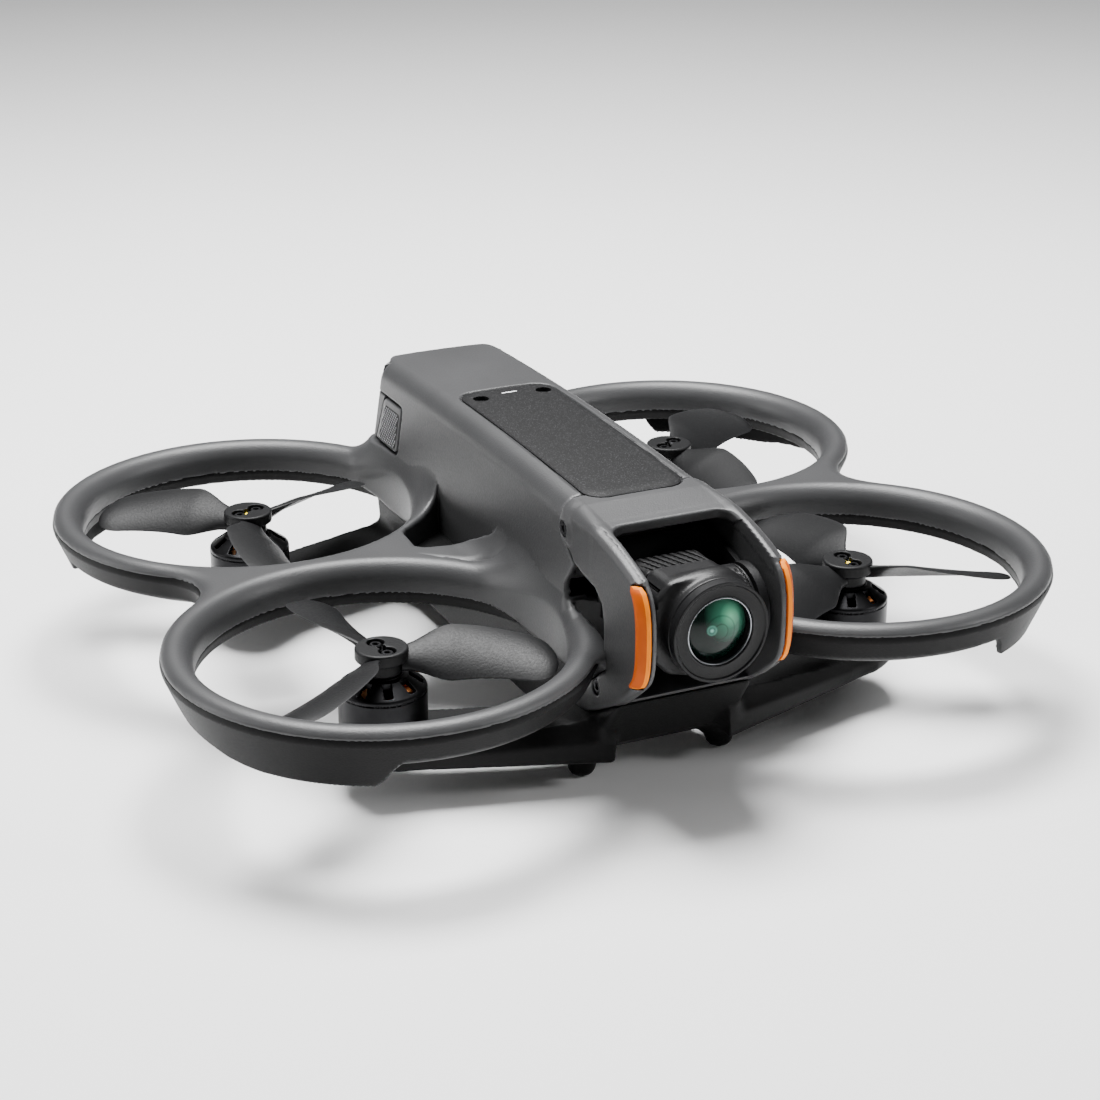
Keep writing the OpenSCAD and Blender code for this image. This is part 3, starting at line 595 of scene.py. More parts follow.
UPPER_SCREW, LOWER_SCREW = (-50.9, 55.5), (-66.5, 24.5)
PANEL_SCREW = (8.2, 15.8)
BUTTON = [(44.3, 53.2), (56.0, 53.2), (62.9, 40.0), (48.9, 40.0)]
NOTCH = rounded([(43.8, 53.8), (80.0, 53.8), (80.0, 39.4), (48.4, 39.4)], 2.2)


def ring_radii(x, y):
    """Distances from the axes of the front and the rear rotor of the same side."""
    return np.hypot(abs(x) - ROTOR_X, y + ROTOR_Y), np.hypot(abs(x) - ROTOR_X, y - ROTOR_Y)


def plan(x, y, inset=0.0):
    """Plan of the rings and of the webs between them, as if the ducts were filled."""
    front, rear = ring_radii(x, y)
    discs = join(front - RING_OUT + inset, rear - RING_OUT + inset, 17.6)
    middle = poly2(abs(x), y, [(12.0, -25.0), (12.0, 25.0), (44.0, 1.0), (44.0, -1.0)])
    return np.minimum(discs, middle)


def in_web(x, y):
    """Where the webs between rings and fuselage are."""
    return (abs(x) < 40) & (abs(y) < 36)


def seam_height(x, y):
    """Height of the joint between the grey lips and the black guards."""
    near = np.minimum(*ring_radii(x, y))
    across = np.clip((near - RING_IN) / (RING_OUT - 0.2 - RING_IN), 0, 1)
    slope = SEAM_IN + (SEAM_OUT - SEAM_IN) * across
    return np.where(in_web(x, y), np.minimum(slope, 28.4), slope)


def lips(x, y, z):
    """Ring lips and webs."""
    front, rear = ring_radii(x, y)
    bead = common(plan(x, y), z - RING_TOP, RING_OUT - BEAD_IN)
    duct = RING_IN - np.minimum(front, rear)
    flank = oval_edge(duct, z - RING_TOP, BEAD_IN - RING_IN, RING_TOP - 29.5)
    return common(np.maximum(bead, flank), seam_height(x, y) - z, 0.9)


def body_top(y):
    """Height of the slightly arched top."""
    return BODY_TOP - 1.4 * ((y - 8.0) / 60.0) ** 2


def panel_recess(x, y, z):
    """Shallow seat of the top panel."""
    return np.maximum(box2(x, y - PANEL_Y, 12.35, 37.4, 5.0), body_top(y) - PANEL_DEPTH - z)


def rear_face(y, z):
    """Distance behind the slanting rear face."""
    return (y - REAR_Y - (REAR_Z - z) * REAR_SLOPE) / math.hypot(1, REAR_SLOPE)


def rear_chamfer(x, y, z):
    """Distance outside the slanting faces at the rear corners."""
    return (abs(x) - 12.6) * 0.692 + rear_face(y, z) * 0.722


def cap_plane(y, z, back=0.0):
    """Distance ahead of the seam plane of the battery cap."""
    return (58.1 + back + (REAR_Z - z) * REAR_SLOPE - y) / math.hypot(1, REAR_SLOPE)


def housing(x, y, z):
    """Outside of the fuselage."""
    top = z - body_top(y) + 0.0016 * x * x
    long_edge = common(abs(x) - HALF_W, top, 5.0)
    tail = common(rear_face(y, z), rear_chamfer(x, y, z), 0.8)
    return common(long_edge, tail, 1.3)


def shell_field(x, y, z):
    """Fuselage housing, ring lips and webs in one moulding."""
    body = common(housing(x, y, z), poly2(y, z, SHELL_SIDE), 0.5)
    duct = RING_IN - np.minimum(*ring_radii(x, y))
    out = common(join(body, lips(x, y, z), 8.0), duct, 0.6 + 3.4 * smooth(z, 32.5, 42.0))
    well = common(poly2(abs(x), y, POCKET), 28.2 - z, 1.0)
    out = np.minimum(cut(out, well, 1.1), body)
    hollows = [np.maximum(box2(abs(x), z - 50.4, 16.0, 10.85, 3.5), -33.0 - y),
               np.maximum(box2(abs(x), z - 28.0, 16.0, 10.0), slab(y, -50.5, 64.0)),
               np.maximum(abs(x) - 16.0, y + 52.0),
               np.maximum(box2(abs(x), z - 44.0, 16.0, 15.4, 3.5), slab(y, -50.5, -34.5))]
    for hollow in hollows:
        out = np.maximum(out, -hollow)
    out = cut(out, panel_recess(x, y, z), 0.45)
    bore = np.hypot(abs(x) - PANEL_SCREW[0], y - PANEL_SCREW[1]) - 2.0
    out = np.maximum(out, -np.maximum(bore, body_top(y) - 2.6 - z))
    out = cut(out, np.maximum(cap_plane(y, z), slab(z, 39.6, 61.2)), 0.25)
    notch = poly2(y, z, NOTCH)
    return cut(out, np.maximum(notch, 13.0 - abs(x)), 0.4)


# ---- guards under the lips ----

# lower edge of the fin: (degrees from the cross axis, height)
FIN_BOTTOM = [(-12, 31.0), (-3, 27.5), (0, 25.0), (3, 24.0), (16, 22.9), (22, 22.0), (33, FIN_Z),
              (67, FIN_Z), (69.6, 23.2), (71.6, 25.6), (74, 27.6), (81, 28.9), (90, 31.0)]


def guard_field(x, y, z):
    """Black band under the lips, with a taller fin on the outside of each ring."""
    near = np.minimum(*ring_radii(x, y))
    web = in_web(x, y)
    down = np.where(web, 0, np.maximum(32.5 - z, 0))
    outer = (plan(x, y, 0.15) + 0.41 * down) * 0.925
    outer = np.maximum(outer, common(plan(x, y, 0.15), z - RING_TOP + 0.15, RING_OUT - BEAD_IN))
    duct = RING_IN + 0.25 + 0.28 * np.maximum(SEAM_IN - z, 0) - near
    low = BAND_IN + 0.51 * np.clip(near - 40.7, 0, 4.7)
    under = (np.where(web, np.minimum(low, 26.6), low) - z) * 0.89
    band = common(np.maximum(outer, duct), under, 0.6)
    inside = (45.6 + 0.38 * (z - 32.5) - near) * 0.93
    turn = np.degrees(np.arctan2(abs(y) - ROTOR_Y, abs(x) - ROTOR_X))
    rim = np.interp(turn, *zip(*FIN_BOTTOM))
    fin = common(np.maximum(outer, inside), (rim - z) * 0.8, 0.45)
    out = np.minimum(band, np.where((turn > -12) & (turn < 90), fin, 50))
    return np.maximum(np.maximum(out, z - seam_height(x, y) - 0.7), HALF_W - 0.1 - abs(x))


# ---- bumper ----

def bumper_roof(y):
    """Height of the loop's upper side."""
    return np.interp(y, [-86.0, -72.0, -62.0, -54.0, -48.4], [54.6, 58.9, 60.7, 61.7, 61.96])


def bumper_field(x, y, z):
    """Two legs, the bar over the camera and the chin below it."""
    side = poly2(y, z, LEG)
    legs = common(common(side, abs(x) - LEG_OUT, 1.7), LEG_IN - abs(x), 0.6)
    window = box2(x, y + 110.0, LEG_IN, 45.1, 4.0)
    roof = z - bumper_roof(y)
    bar_side = np.interp(y, [-66.0, -58.0], [15.4, 17.6])
    bar = np.maximum(np.maximum(slab(y, -84.0, -48.75), abs(x) - bar_side), slab(roof, -2.4, 0))
    bar = cut(bar, window, 0.5)
    out = join(legs, bar, 1.2)
    chin = np.maximum(poly2(y, z, [(-76.6, 24.8), (-75.5, 23.8), (-62.0, 16.8), (-56.0, 14.4),
                                   (-56.0, 19.0), (-66.5, 26.6)]), abs(x) - 15.5)
    out = join(out, chin, 0.6)
    edge = np.interp(y, [-66.0, -49.0], [1.7, 4.6])
    roof = roof + 0.0016 * x * x * smooth(y, -66.0, -50.0)
    outside = common(abs(x) - LEG_OUT, roof, edge) - 4 * (1 - smooth(y, -76.0, -62.0))
    out = common(out, outside, 0.6)
    boss = np.hypot(np.hypot(y - UPPER_SCREW[0], (z - UPPER_SCREW[1]) * 0.8), (abs(x) - 15.2)) - 3.6
    out = join(out, np.maximum(boss, y + 48.7), 1.5)
    out = cut(out, panel_recess(x, y, z), 0.2)
    swing = np.maximum(np.hypot(y - TILT_Y, z - TILT_Z) - 17.4, abs(x) - 14.6)
    out = np.maximum(out, -swing)
    for (sy, sz), deep in ((UPPER_SCREW, 17.7), (LOWER_SCREW, 17.0)):
        out = cut(out, np.maximum(np.hypot(y - sy, z - sz) - 1.95, deep - abs(x)), 0.25)
    behind = y - np.interp(z, *zip(*[(pz, py) for py, pz in LEG_FRONT[::-1]]))
    rebate = np.maximum(np.maximum(behind - 2.9, 15.8 - abs(x)), slab(z, 31.3, 54.5))
    return cut(out, rebate, 0.15)


def sideways(ob, side):
    """Turns a plate drawn as (y, z, thickness in x) upright on one side."""
    m = Matrix(((0, 0, side, 0), (1, 0, 0, 0), (0, 1, 0, 0), (0, 0, 0, 1)))
    ob.data.transform(m)
    if side < 0:
        ob.data.flip_normals()
    return ob


def build_stripes():
    """Strips swept along the front edges of the legs: a wide outer facet and a narrow front one."""
    section = [(15.95, 1.2), (15.95, 0.6), (16.0, 0.25), (16.2, 0.0), (17.0, 0.0), (17.2, 0.1),
               (18.25, 1.45), (18.5, 1.85), (18.55, 2.1), (18.55, 2.6), (17.0, 2.75)]
    line = smooth_path(LEG_FRONT, 8)
    parts = []
    for side in (1, -1):
        verts = []
        for i, (py, pz) in enumerate(line):
            near_end = min(i, len(line) - 1 - i)
            full = min(1.0, 0.55 + 0.15 * near_end)
            wide = 0.4 + 0.6 * full
            verts += [(side * (17.2 + (sx - 17.2) * wide), py + 2.0 + (d - 2.0) * full, pz)
                      for sx, d in section]
        ob = collect(f"stripe_{side}", verts, tube_faces(len(line), len(section)))
        face_outwards(ob)
        parts.append(ob)
    ob = merged("bumper_stripe_strips", parts)
    shade(ob.data, 28)
    finish_piece(ob, "stripe_orange", "root", "bumper_stripes", extra=("stripe_front_lit",))
    for face in ob.data.polygons:  # faces that don't look sideways get a brighter copy of the orange: painted light on the front facets
        face.material_index = int(abs(face.normal.x) < 0.5)


# ---- screws ----

def screw(name, r=1.7, socket=0.85):
    """Socket head along +Z with its top at 0."""
    return lathe(name, [(0.0, -0.75), (socket, -0.75), (socket, -0.12), (socket + 0.1, 0),
                        (r - 0.25, 0), (r, -0.25), (r, -0.9), (r * 0.6, -0.9), (r * 0.6, -3.2),
                        (0.0, -3.2)], 48, hexed=(1, 2, 3), sharp=30)


def build_screws():
    """Screws of the panel, of both sides and of the belly."""
    parts = []
    for side in (1, -1):
        seat = (side * PANEL_SCREW[0], PANEL_SCREW[1], body_top(PANEL_SCREW[1]) - PANEL_DEPTH)
        parts.append(apply(screw("s"), Matrix.Translation(seat)))
    for side in (1, -1):
        tip = Matrix.Rotation(side * math.pi / 2, 4, "Y")
        for (sy, sz), at in ((UPPER_SCREW, 18.2), (LOWER_SCREW, 17.55)):
            parts.append(apply(screw("s"), Matrix.Translation((side * at, sy, sz)) @ tip))
        for y in (-30, 40):
            flip = Matrix.Rotation(math.pi, 4, "X")
            parts.append(apply(screw("s"), Matrix.Translation((side * 11, y, 3.2)) @ flip))
    return finish_piece(merged("frame_screw_heads", parts), "screw_black", "root", "frame_screws")


# ---- top panel ----

def build_panel():
    """Panel with wide sloping edges, following the arch of the body, with two screw holes."""
    levels = [(0.0, -0.65), (0.0, -0.3), (0.35, -0.1), (1.5, 0.22), (1.9, 0.27)]
    rings = [(round_outline(24.1 - 2 * d, 74.2 - 2 * d, 4.8 - 0.7 * d, 0, PANEL_Y, 10), h)
             for d, h in levels]
    verts = [(x, y, h) for outline, h in rings for x, y in outline]
    ob = collect("top_panel_sheet", verts, tube_faces(len(rings), len(rings[0][0])))
    drill = [apply(lathe("drill", [(0.0, -3), (1.95, -3), (1.95, 3), (0.0, 3)], 48),
                   Matrix.Translation((sx * PANEL_SCREW[0], PANEL_SCREW[1], 0))) for sx in (1, -1)]
    drill = merged("drills", drill)
    mod = ob.modifiers.new("holes", "BOOLEAN")
    mod.object = drill
    mod.operation = "DIFFERENCE"
    mod.solver = "EXACT"
    bpy.context.view_layer.update()
    seen = ob.evaluated_get(bpy.context.evaluated_depsgraph_get())
    bm = bmesh.new()
    bm.from_mesh(bpy.data.meshes.new_from_object(seen))
    ob.modifiers.clear()
    bpy.data.objects.remove(drill, do_unlink=True)
    for y in np.arange(-50, 22, 3.0):
        geom = bm.verts[:] + bm.edges[:] + bm.faces[:]
        bmesh.ops.bisect_plane(bm, geom=geom, plane_co=(0, y * MM, 0), plane_no=(0, 1, 0))
    for v in bm.verts:
        v.co.z += body_top(v.co.y / MM) * MM
    bm.to_mesh(ob.data)
    bm.free()
    shade(ob.data, 14)
    finish_piece(ob, "panel_dark", "root", "top_panel")
    dash = plate("panel_dash", round_outline(4.0, 0.6, 0.25, 0, 17.6, 3), 0, 0.05, 0.01)
    apply(dash, Matrix.Translation((0, 0, body_top(17.6) + 0.26)))
    finish_piece(dash, "printed_pale", "root")


# ---- lower frame ----

TRAY = [(-52.0, 24.0), (66.0, 24.0), (62.0, 8.0), (56.0, 5.0), (-47.0, 5.0), (-49.0, 3.9),
        (-56.5, 3.9), (-60.0, 5.5), (-66.0, 9.5), (-75.3, 23.5), (-62.0, 16.3), (-55.8, 15.6),
        (-52.0, 22.0)]
ARM = [(14.0, 69.5), (17.5, 68.5), (52.0, 59.5), (60.0, 56.8), (66.0, 52.0), (58.0, 34.0),
       (47.0, 39.0), (30.0, 46.0), (17.0, 50.0), (14.0, 51.0)]
FEET = [(17.3, -58.9), (14.0, 48.0)]


def frame_field(x, y, z):
    """Tray under the fuselage, four motor arms and four feet."""
    tray = common(poly2(y, z, TRAY), abs(x) - 17.0, 1.8)
    hub = np.hypot(abs(x) - ROTOR_X, abs(y) - ROTOR_Y) - 11.5
    flat = join(hub, poly2(abs(x), abs(y), ARM), 3.0)
    top = (z - 15.8 + 0.07 * (abs(x) - 17)) * 0.99
    bottom = 6.3 + 0.05 * (abs(x) - 17) - z
    facet = (flat + 0.9 * (z - 11.8)) * 0.74
    arm = common(np.maximum(common(flat, facet, 0.4), top), bottom, 1.6)
    out = join(tray, arm, 3.0)
    for fx, fy in FEET:
        r = np.interp(z, [0, 0.3, 1.2, 3, 9, 14], [1.4, 2.2, 2.9, 3.4, 4.6, 6.0])
        foot = common((np.hypot(abs(x) - fx, y - fy) - r) * 0.97, slab(z, 0.0, 14.0), 0.3)
        out = join(out, foot, 3.0)
    out = np.maximum(out, -np.maximum(box2(x, y - 6.0, 15.4, 54.0, 2.0), 6.6 - z))
    window = np.maximum(box2(x, y, 12.2, 46.0, 1.0), z - 8)
    out = cut(out, window, 0.2)
    rib = 0.9 * np.abs(np.cos(math.pi * x / 3.3)) + 3.6
    out = cut(out, np.maximum(np.maximum(abs(x) - 13.2, slab(y, -62.0, -46.0)), z - rib), 0.2)
    seat = np.maximum(np.hypot(abs(x) - ROTOR_X, abs(y) - ROTOR_Y) - 9.6, 12.9 - z)
    return cut(out, seat, 0.2)


# ---- battery rear and buttons ----

def cap_field(x, y, z):
    """Rear cap with key seat, four light holes, finger grooves and side tongues."""
    faces = common(rear_face(y, z) + 0.5, rear_chamfer(x, y, z) + 0.3, 0.8)
    outside = common(faces, abs(x) - 17.2, 0.6)
    edge = (56.45 + (53.2 - z) * 0.523 - y) * 0.886
    tongue = np.maximum(np.maximum(edge, z - 53.4), 13.2 - abs(x))
    out = common(outside, np.minimum(cap_plane(y, z, 0.35), tongue), 0.3)
    out = common(out, slab(z, 39.9, 60.9), 0.7)
    grown = poly2(y, z, BUTTON) - 0.4
    out = cut(out, np.maximum(grown, 12.6 - abs(x)), 0.2)
    out = cut(out, np.maximum(np.hypot(x, z - 49.0) - 4.35, 50.0 - y), 0.3)
    for light in (-4.5, -1.5, 1.5, 4.5):
        out = np.maximum(out, -np.maximum(np.hypot(x - light, z - 56.0) - 0.85, 50.0 - y))
    grip = np.abs(((z - 42.0) / 1.4 + 0.5) % 1 - 0.5) * 1.4 - 0.35
    zone = np.maximum(box2(x, z - 43.2, 9.0, 1.9, 0.3), -rear_face(y, z) - 1.0)
    return np.maximum(out, -np.maximum(grip, zone))


def build_buttons():
    """Power key and the two release buttons."""
    low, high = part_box("power_button")
    base = (low.y + high.y) / 2 / MM
    knob = lathe("power_button_key", [(0.0, -0.75), (3.9, -0.75), (3.9, 1.1), (3.6, 1.5), (2.9, 1.55),
                                      (2.6, 1.35), (0.0, 1.3)], 64)
    apply(knob, Matrix.Translation((0, base, 49)) @ Matrix.Rotation(-math.pi / 2, 4, "X"))
    finish_piece(knob, "button_grey", "power_button", "power_button")
    inner = rounded([(44.5, 53.1), (55.9, 53.1), (62.7, 40.1), (48.95, 40.1)], 1.8)
    zone = rounded([(46.0, 51.3), (55.2, 51.3), (60.9, 41.0), (49.7, 41.0)], 1.0)
    for side, word in ((1, "left"), (-1, "right")):
        key = sideways(plate(f"release_key_{word}", inner, 14.5, 17.55, 0.45), side)
        finish_piece(key, "button_grey", f"release_{word}", f"release_button_{word}")
        # painted shade and highlight: a near-black plate fills the knurl's valleys with painted shade,
        # and the paler pyramids carry a painted highlight
        base = sideways(plate(f"release_base_{word}", zone, 17.3, 17.62, 0.05), side)
        finish_piece(base, "shadow_gap", f"release_{word}")
        grid = sideways(knurl(f"release_knurl_{word}"), side)
        finish_piece(grid, "knurl_highlit_grey", f"release_{word}")


def knurl(name):
    """Field of small pyramids covering the lower part of a release button, in (y, z, x)."""
    verts, faces = [], []
    pitch = 1.12
    for i in range(24):
        for j in range(18):
            py = 42.0 + pitch * (i + 0.5 * (j % 2))
            pz = 40.6 + pitch * 0.6 * (j + 1)
            slant = (pz - 40.0) / 13.2
            if 50.3 - 4.4 * slant < py < 61.0 - 6.6 * slant and pz < 51.0:
                k = len(verts)
                h, v = pitch * 0.3, pitch * 0.36
                verts += [(py - h, pz, 17.55), (py, pz - v, 17.55), (py + h, pz, 17.55),
                          (py, pz + v, 17.55), (py, pz, 17.9)]
                faces += [(k, k + 1, k + 4), (k + 1, k + 2, k + 4), (k + 2, k + 3, k + 4),
                          (k + 3, k, k + 4), (k + 3, k + 2, k + 1, k)]
    return collect(name, verts, faces, sharp=20)


# ---- motors and propellers ----

def off_slot(x, y):
    """Angle from the nearest motor slot."""
    return ((np.arctan2(y, x) / SLOT_STEP + 0.5) % 1 - 0.5) * SLOT_STEP


def bell_field(x, y, z):
    """Rotor can with slots in its top."""
    r = np.hypot(x, y)
    side = r - BELL_R
    cone = (z - 23.9) * 0.81 + (r - BELL_R) * 0.585
    top = np.maximum(cone, z - 26.7)
    body = common(side, top, 0.3)
    boss = np.maximum(r - 4.5, z - 27.0)
    out = join(np.maximum(body, 15.4 - z), np.maximum(boss, 22 - z), 0.4)
    inner = np.maximum(np.maximum(r - 8.85, (z - 23.2) * 0.81 + (r - 8.85) * 0.585), z - 25.2)
    out = np.maximum(out, -np.maximum(inner, 3.4 - r))
    near = np.abs(off_slot(x, y)) * r - 0.95
    slot = np.maximum(np.maximum(near, slab(r, 5.8, 8.8)), 22 - z)
    out = cut(out, slot, 0.15)
    groove = slab(z, 22.9, 23.15)
    return cut(out, np.maximum(groove, 9.6 - r), 0.08)


def hub_field(x, y, z):
    """Propeller hub with the recess of its two screws."""
    r = np.hypot(x, y)
    disc = common(r - 5.85, slab(z, 30.1, HUB_TOP), 0.55)
    neck = common(r - 4.4, slab(z, 27.2, 31.0), 0.3)
    out = join(disc, neck, 0.8)
    holes = join(np.hypot(x - 2.6, y) - 1.95, np.hypot(x + 2.6, y) - 1.95, 1.2)
    out = cut(out, np.maximum(holes, 31.4 - z), 0.25)
    return np.maximum(out, 1.02 - r)


def blade_mesh(name, spin):
    """Three twisted blades with round tips; spin 1 or -1 gives the hand."""
    stations, around = 40, 24
    root, tip = 4.4, 38.0
    verts, faces = [], []
    for turn in range(3):
        base = len(verts)
        ang = 2 * math.pi * turn / 3
        for i in range(stations + 1):
            t = 1 - (1 - i / stations) ** 1.5
            rise = smooth(np.float64(t), 0.0, 0.34)
            chord = (6.4 + 9.6 * float(rise)) * (1 - 0.12 * t)
            chord *= math.sqrt(max(1 - max((t - 0.8) / 0.2, 0) ** 2.6, 0.0004))
            thick = (2.6 - 2.1 * float(smooth(np.float64(t), 0.0, 0.4))) * (1 - 0.35 * t)
            thick *= math.sqrt(max(1 - max((t - 0.9) / 0.1, 0) ** 2, 0.02))
            pitch = math.radians(38 - 22 * t ** 0.8)
            sweep = 1.9 * math.sin(math.pi * t) - 2.2 * t * t
            along = root + t * (tip - root)
            for k in range(around):
                a = 2 * math.pi * k / around
                u = math.cos(a) * chord / 2
                w = math.sin(a) * thick / 2 * (1 - 0.35 * math.cos(a))
                w += 0.075 * chord * (1 - (2 * u / max(chord, 0.01)) ** 2) * float(rise)
                u += sweep
                px, py = along, (u * math.cos(pitch) - w * math.sin(pitch)) * spin
                pz = 30.2 + u * math.sin(pitch) + w * math.cos(pitch) - 0.4 * t
                verts.append((px * math.cos(ang) - py * math.sin(ang),
                              px * math.sin(ang) + py * math.cos(ang), pz))
        faces += tube_faces(stations + 1, around, base)
    ob = collect(name, verts, faces)
    face_outwards(ob)
    ob.data.shade_smooth()
    return ob


def placed(ob, name, centre, degrees):
    """Copy of a mesh drawn about the Z axis, turned and moved to a rotor."""
    twin = ob.copy()
    twin.data = ob.data.copy()
    twin.name = name
    twin.data.name = name
    bpy.context.scene.collection.objects.link(twin)
    turn = Matrix.Rotation(math.radians(degrees), 4, "Z")
    twin.data.transform(Matrix.Translation((centre[0] * MM, centre[1] * MM, 0)) @ turn)
    return twin


SPIN = {"front_right": 1, "front_left": -1, "rear_right": -1, "rear_left": 1}


def blade_phase(name):
    """Direction of the propeller's screws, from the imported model."""
    low, high = (np.array(p[:2]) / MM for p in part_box("prop_screws_" + name))
    co = np.array([v.co[:2] for v in frame["nodes"]["prop_screws_" + name].data.vertices]) / MM
    spread = np.cov((co - (low + high) / 2).T)
    values, vectors = np.linalg.eigh(spread)
    return math.degrees(math.atan2(vectors[1, 1], vectors[0, 1])) % 180


def build_rotors():
    bell = mesh_field("bell", bell_field, (-10.3, -10.3, 15), (10.3, 10.3, 27.5), 0.3)
    hub = mesh_field("hub", hub_field, (-6.4, -6.4, 26.8), (6.4, 6.4, 33.5), 0.25)
    blades = {1: blade_mesh("blades_ccw", 1), -1: blade_mesh("blades_cw", -1)}
    coil = coil_mesh("coils")
    foot = lathe("foot", [(2.9, 13.0), (9.0, 13.0), (9.4, 13.3), (9.4, 14.2), (9.0, 14.7), (5.0, 14.9),
                          (2.9, 14.9)], 72)
    for name, centre in ROTORS.items():
        phase = blade_phase(name)
        spin = SPIN[name]
        finish_piece(placed(bell, f"bell_{name}", centre, phase), "motor_black", f"rotor_{name}",
                     f"motor_bell_{name}")
        prop = merged(f"prop_{name}", [placed(hub, "h", centre, phase),
                                       placed(blades[spin], "b", centre, phase)])
        finish_piece(prop, "propeller_grey", f"rotor_{name}", f"propeller_{name}")
        heads = []
        for sx in (2.6, -2.6):
            head = apply(screw("s", 1.4, 0.75), Matrix.Translation((sx, 0, 32.6)))
            heads.append(placed(head, "s2", centre, phase))
            bpy.data.objects.remove(head, do_unlink=True)
        finish_piece(merged(f"prop_screw_heads_{name}", heads), "screw_black", f"rotor_{name}",
                     f"prop_screws_{name}")
        if spin < 0:
            dot = lathe(f"rotation_mark_{name}", [(0.0, 0), (0.75, 0), (0.75, 0.1), (0.65, 0.18),
                                                  (0.0, 0.18)], 32)
            apply(dot, Matrix.Translation((centre[0], centre[1], 31.9)))
            finish_piece(dot, "dot_yellow", f"rotor_{name}")
        finish_piece(placed(coil, f"coils_{name}", centre, 0), "copper_winding", "root",
                     f"stator_{name}")
        finish_piece(placed(foot, f"motor_foot_{name}", centre, 0), "motor_black", "root",
                     f"motor_base_{name}")
    for ob in (bell, hub, coil, foot, *blades.values()):
        bpy.data.objects.remove(ob, do_unlink=True)


def coil_mesh(name):
    """Nine wound teeth round a core."""
    def field(x, y, z):
        r = np.hypot(x, y)
        core = np.maximum(common(r - 4.6, slab(z, 16.4, 21.8), 0.3), 2.9 - r)
        side = np.sin(off_slot(x, y)) * r
        coil = common(box2(side, z - 19.1, 1.5, 2.5, 1.1), slab(r, 4.0, 7.7), 0.5)
        shoe = common(box2(side, z - 19.1, 2.2, 2.4, 0.3), slab(r, 7.6, 8.35), 0.2)
        return np.minimum(np.minimum(core, coil), shoe)
    return mesh_field(name, field, (-9, -9, 16), (9, 9, 22.4), 0.35)


# ---- camera ----

CAM_X = -2.1  # the body sits to the side of the lens, to leave room for the tilt motor


def octagon(u, w, half_u, half_w, reach):
    """Box section of the camera with its corners cut at 45 degrees."""
    return common(box2(u, w, half_u, half_w, 1.5), (abs(u) + abs(w) - reach) * 0.707, 0.8)


def camera_field(x, y, z):
    """Front shell: body, ring seat and the tilt motor's rotor, hollow inside."""
    u, w = x - CAM_X, z - TILT_Z
    body = octagon(u, w, 10.5, 10.6, 17.4)
    body = common(body, slab(y, -84.0, -75.0), 0.4)
    body = common(body, -84.0 - y, 1.8)
    r = np.hypot(x, w)
    ring = common(r - FILTER_R, slab(y, -86.85, -82.0), 0.35)
    hood = common(r - 9.0, slab(y, -88.8, -84.0), 0.2)
    out = np.minimum(join(body, ring, 3.0), hood)
    tilt_r = np.hypot(y - TILT_Y, w)
    rotor = common(tilt_r - 8.8, slab(x, 6.0, 10.8), 0.6)
    out = join(out, rotor, 1.0)
    for gx in (8.9, 9.9):
        out = cut(out, np.maximum(slab(x, gx - 0.12, gx + 0.12), 8.4 - tilt_r), 0.06)
    pin = np.maximum(tilt_r - 1.5, slab(x, 10.0, 13.2))
    out = np.minimum(out, pin)
    out = np.maximum(out, -np.maximum(r - 8.4, slab(y, -90, -76)))
    inside = np.maximum(box2(u, w, 9.3, 9.0, 2.0), slab(y, -82.0, -70))
    return np.maximum(out, -inside)


def rear_cover_field(x, y, z):
    """Rear shell with slanting ribs on top."""
    u, w = x - CAM_X, z - TILT_Z
    body = octagon(u, w, 10.45, 10.0, 17.2)
    body = common(body, slab(y, -74.85, -67.0), 0.8)
    lean = (u + 0.35 * (y + 71.0)) / 1.9
    groove = np.abs((lean + 0.5) % 1 - 0.5) * 1.9 - 0.3
    zone = np.maximum(np.maximum(9.55 - w, abs(u + 0.2) - 7.4), slab(y, -74.2, -66.0))
    out = cut(body, np.maximum(groove, zone), 0.25)
    inside = np.maximum(box2(u, w, 9.3, 8.8, 2.0), slab(y, -75.5, -68.2))
    return np.maximum(out, -inside)


def lens_piece(name, profile, segments=96):
    """Lathe of (radius, distance ahead of the tilt axis) about the lens axis."""
    ob = lathe(name, profile, segments)
    return apply(ob, Matrix.Translation((0, TILT_Y, TILT_Z)) @ Matrix.Rotation(math.pi / 2, 4, "X"))


def build_lens():
    """Filter ring, lens tube, bright trim ring and domed glass."""
    front = TILT_Y - LENS_Y
    profile = [(7.7, -2.5), (9.0, -2.5), (11.0, -2.5), (FILTER_R, -2.3), (FILTER_R, -0.2),
               (FILTER_R - 0.2, 0), (10.6, 0), (10.3, -0.35), (8.15, -0.55), (7.85, -0.45), (7.7, -0.6)]
    ring = lens_piece("filter_ring_turned", [(r, front + ahead) for r, ahead in profile])
    finish_piece(ring, "filter_black", "filter", "filter_ring")
    barrel = lens_piece("lens_tube", [(7.35, 1.0), (8.3, 1.0), (8.3, 10.7), (7.9, 11.0), (7.6, 11.0),
                                      (7.35, 10.6)])
    finish_piece(barrel, "camera_black", "camera", "lens_barrel")
    trim = lens_piece("lens_bright_ring", [(7.3, 10.6), (7.62, 10.6), (7.62, 11.12), (7.46, 11.2),
                                           (7.3, 11.12)])
    finish_piece(trim, "lens_silver", "camera")
    glass_r, glass_top, curve_r = 7.3, 11.5, 13
    dome = []
    for k in range(25):
        r = glass_r * k / 24
        dome.append((r, glass_top - (curve_r - math.sqrt(curve_r ** 2 - r * r))))
    glass = lens_piece("front_glass", dome[::-1] + [(0.0, 6.0), (glass_r, 6.0)], 128)
    finish_piece(glass, "lens_glass", "camera", "lens_glass")


# ---- mouldings ----

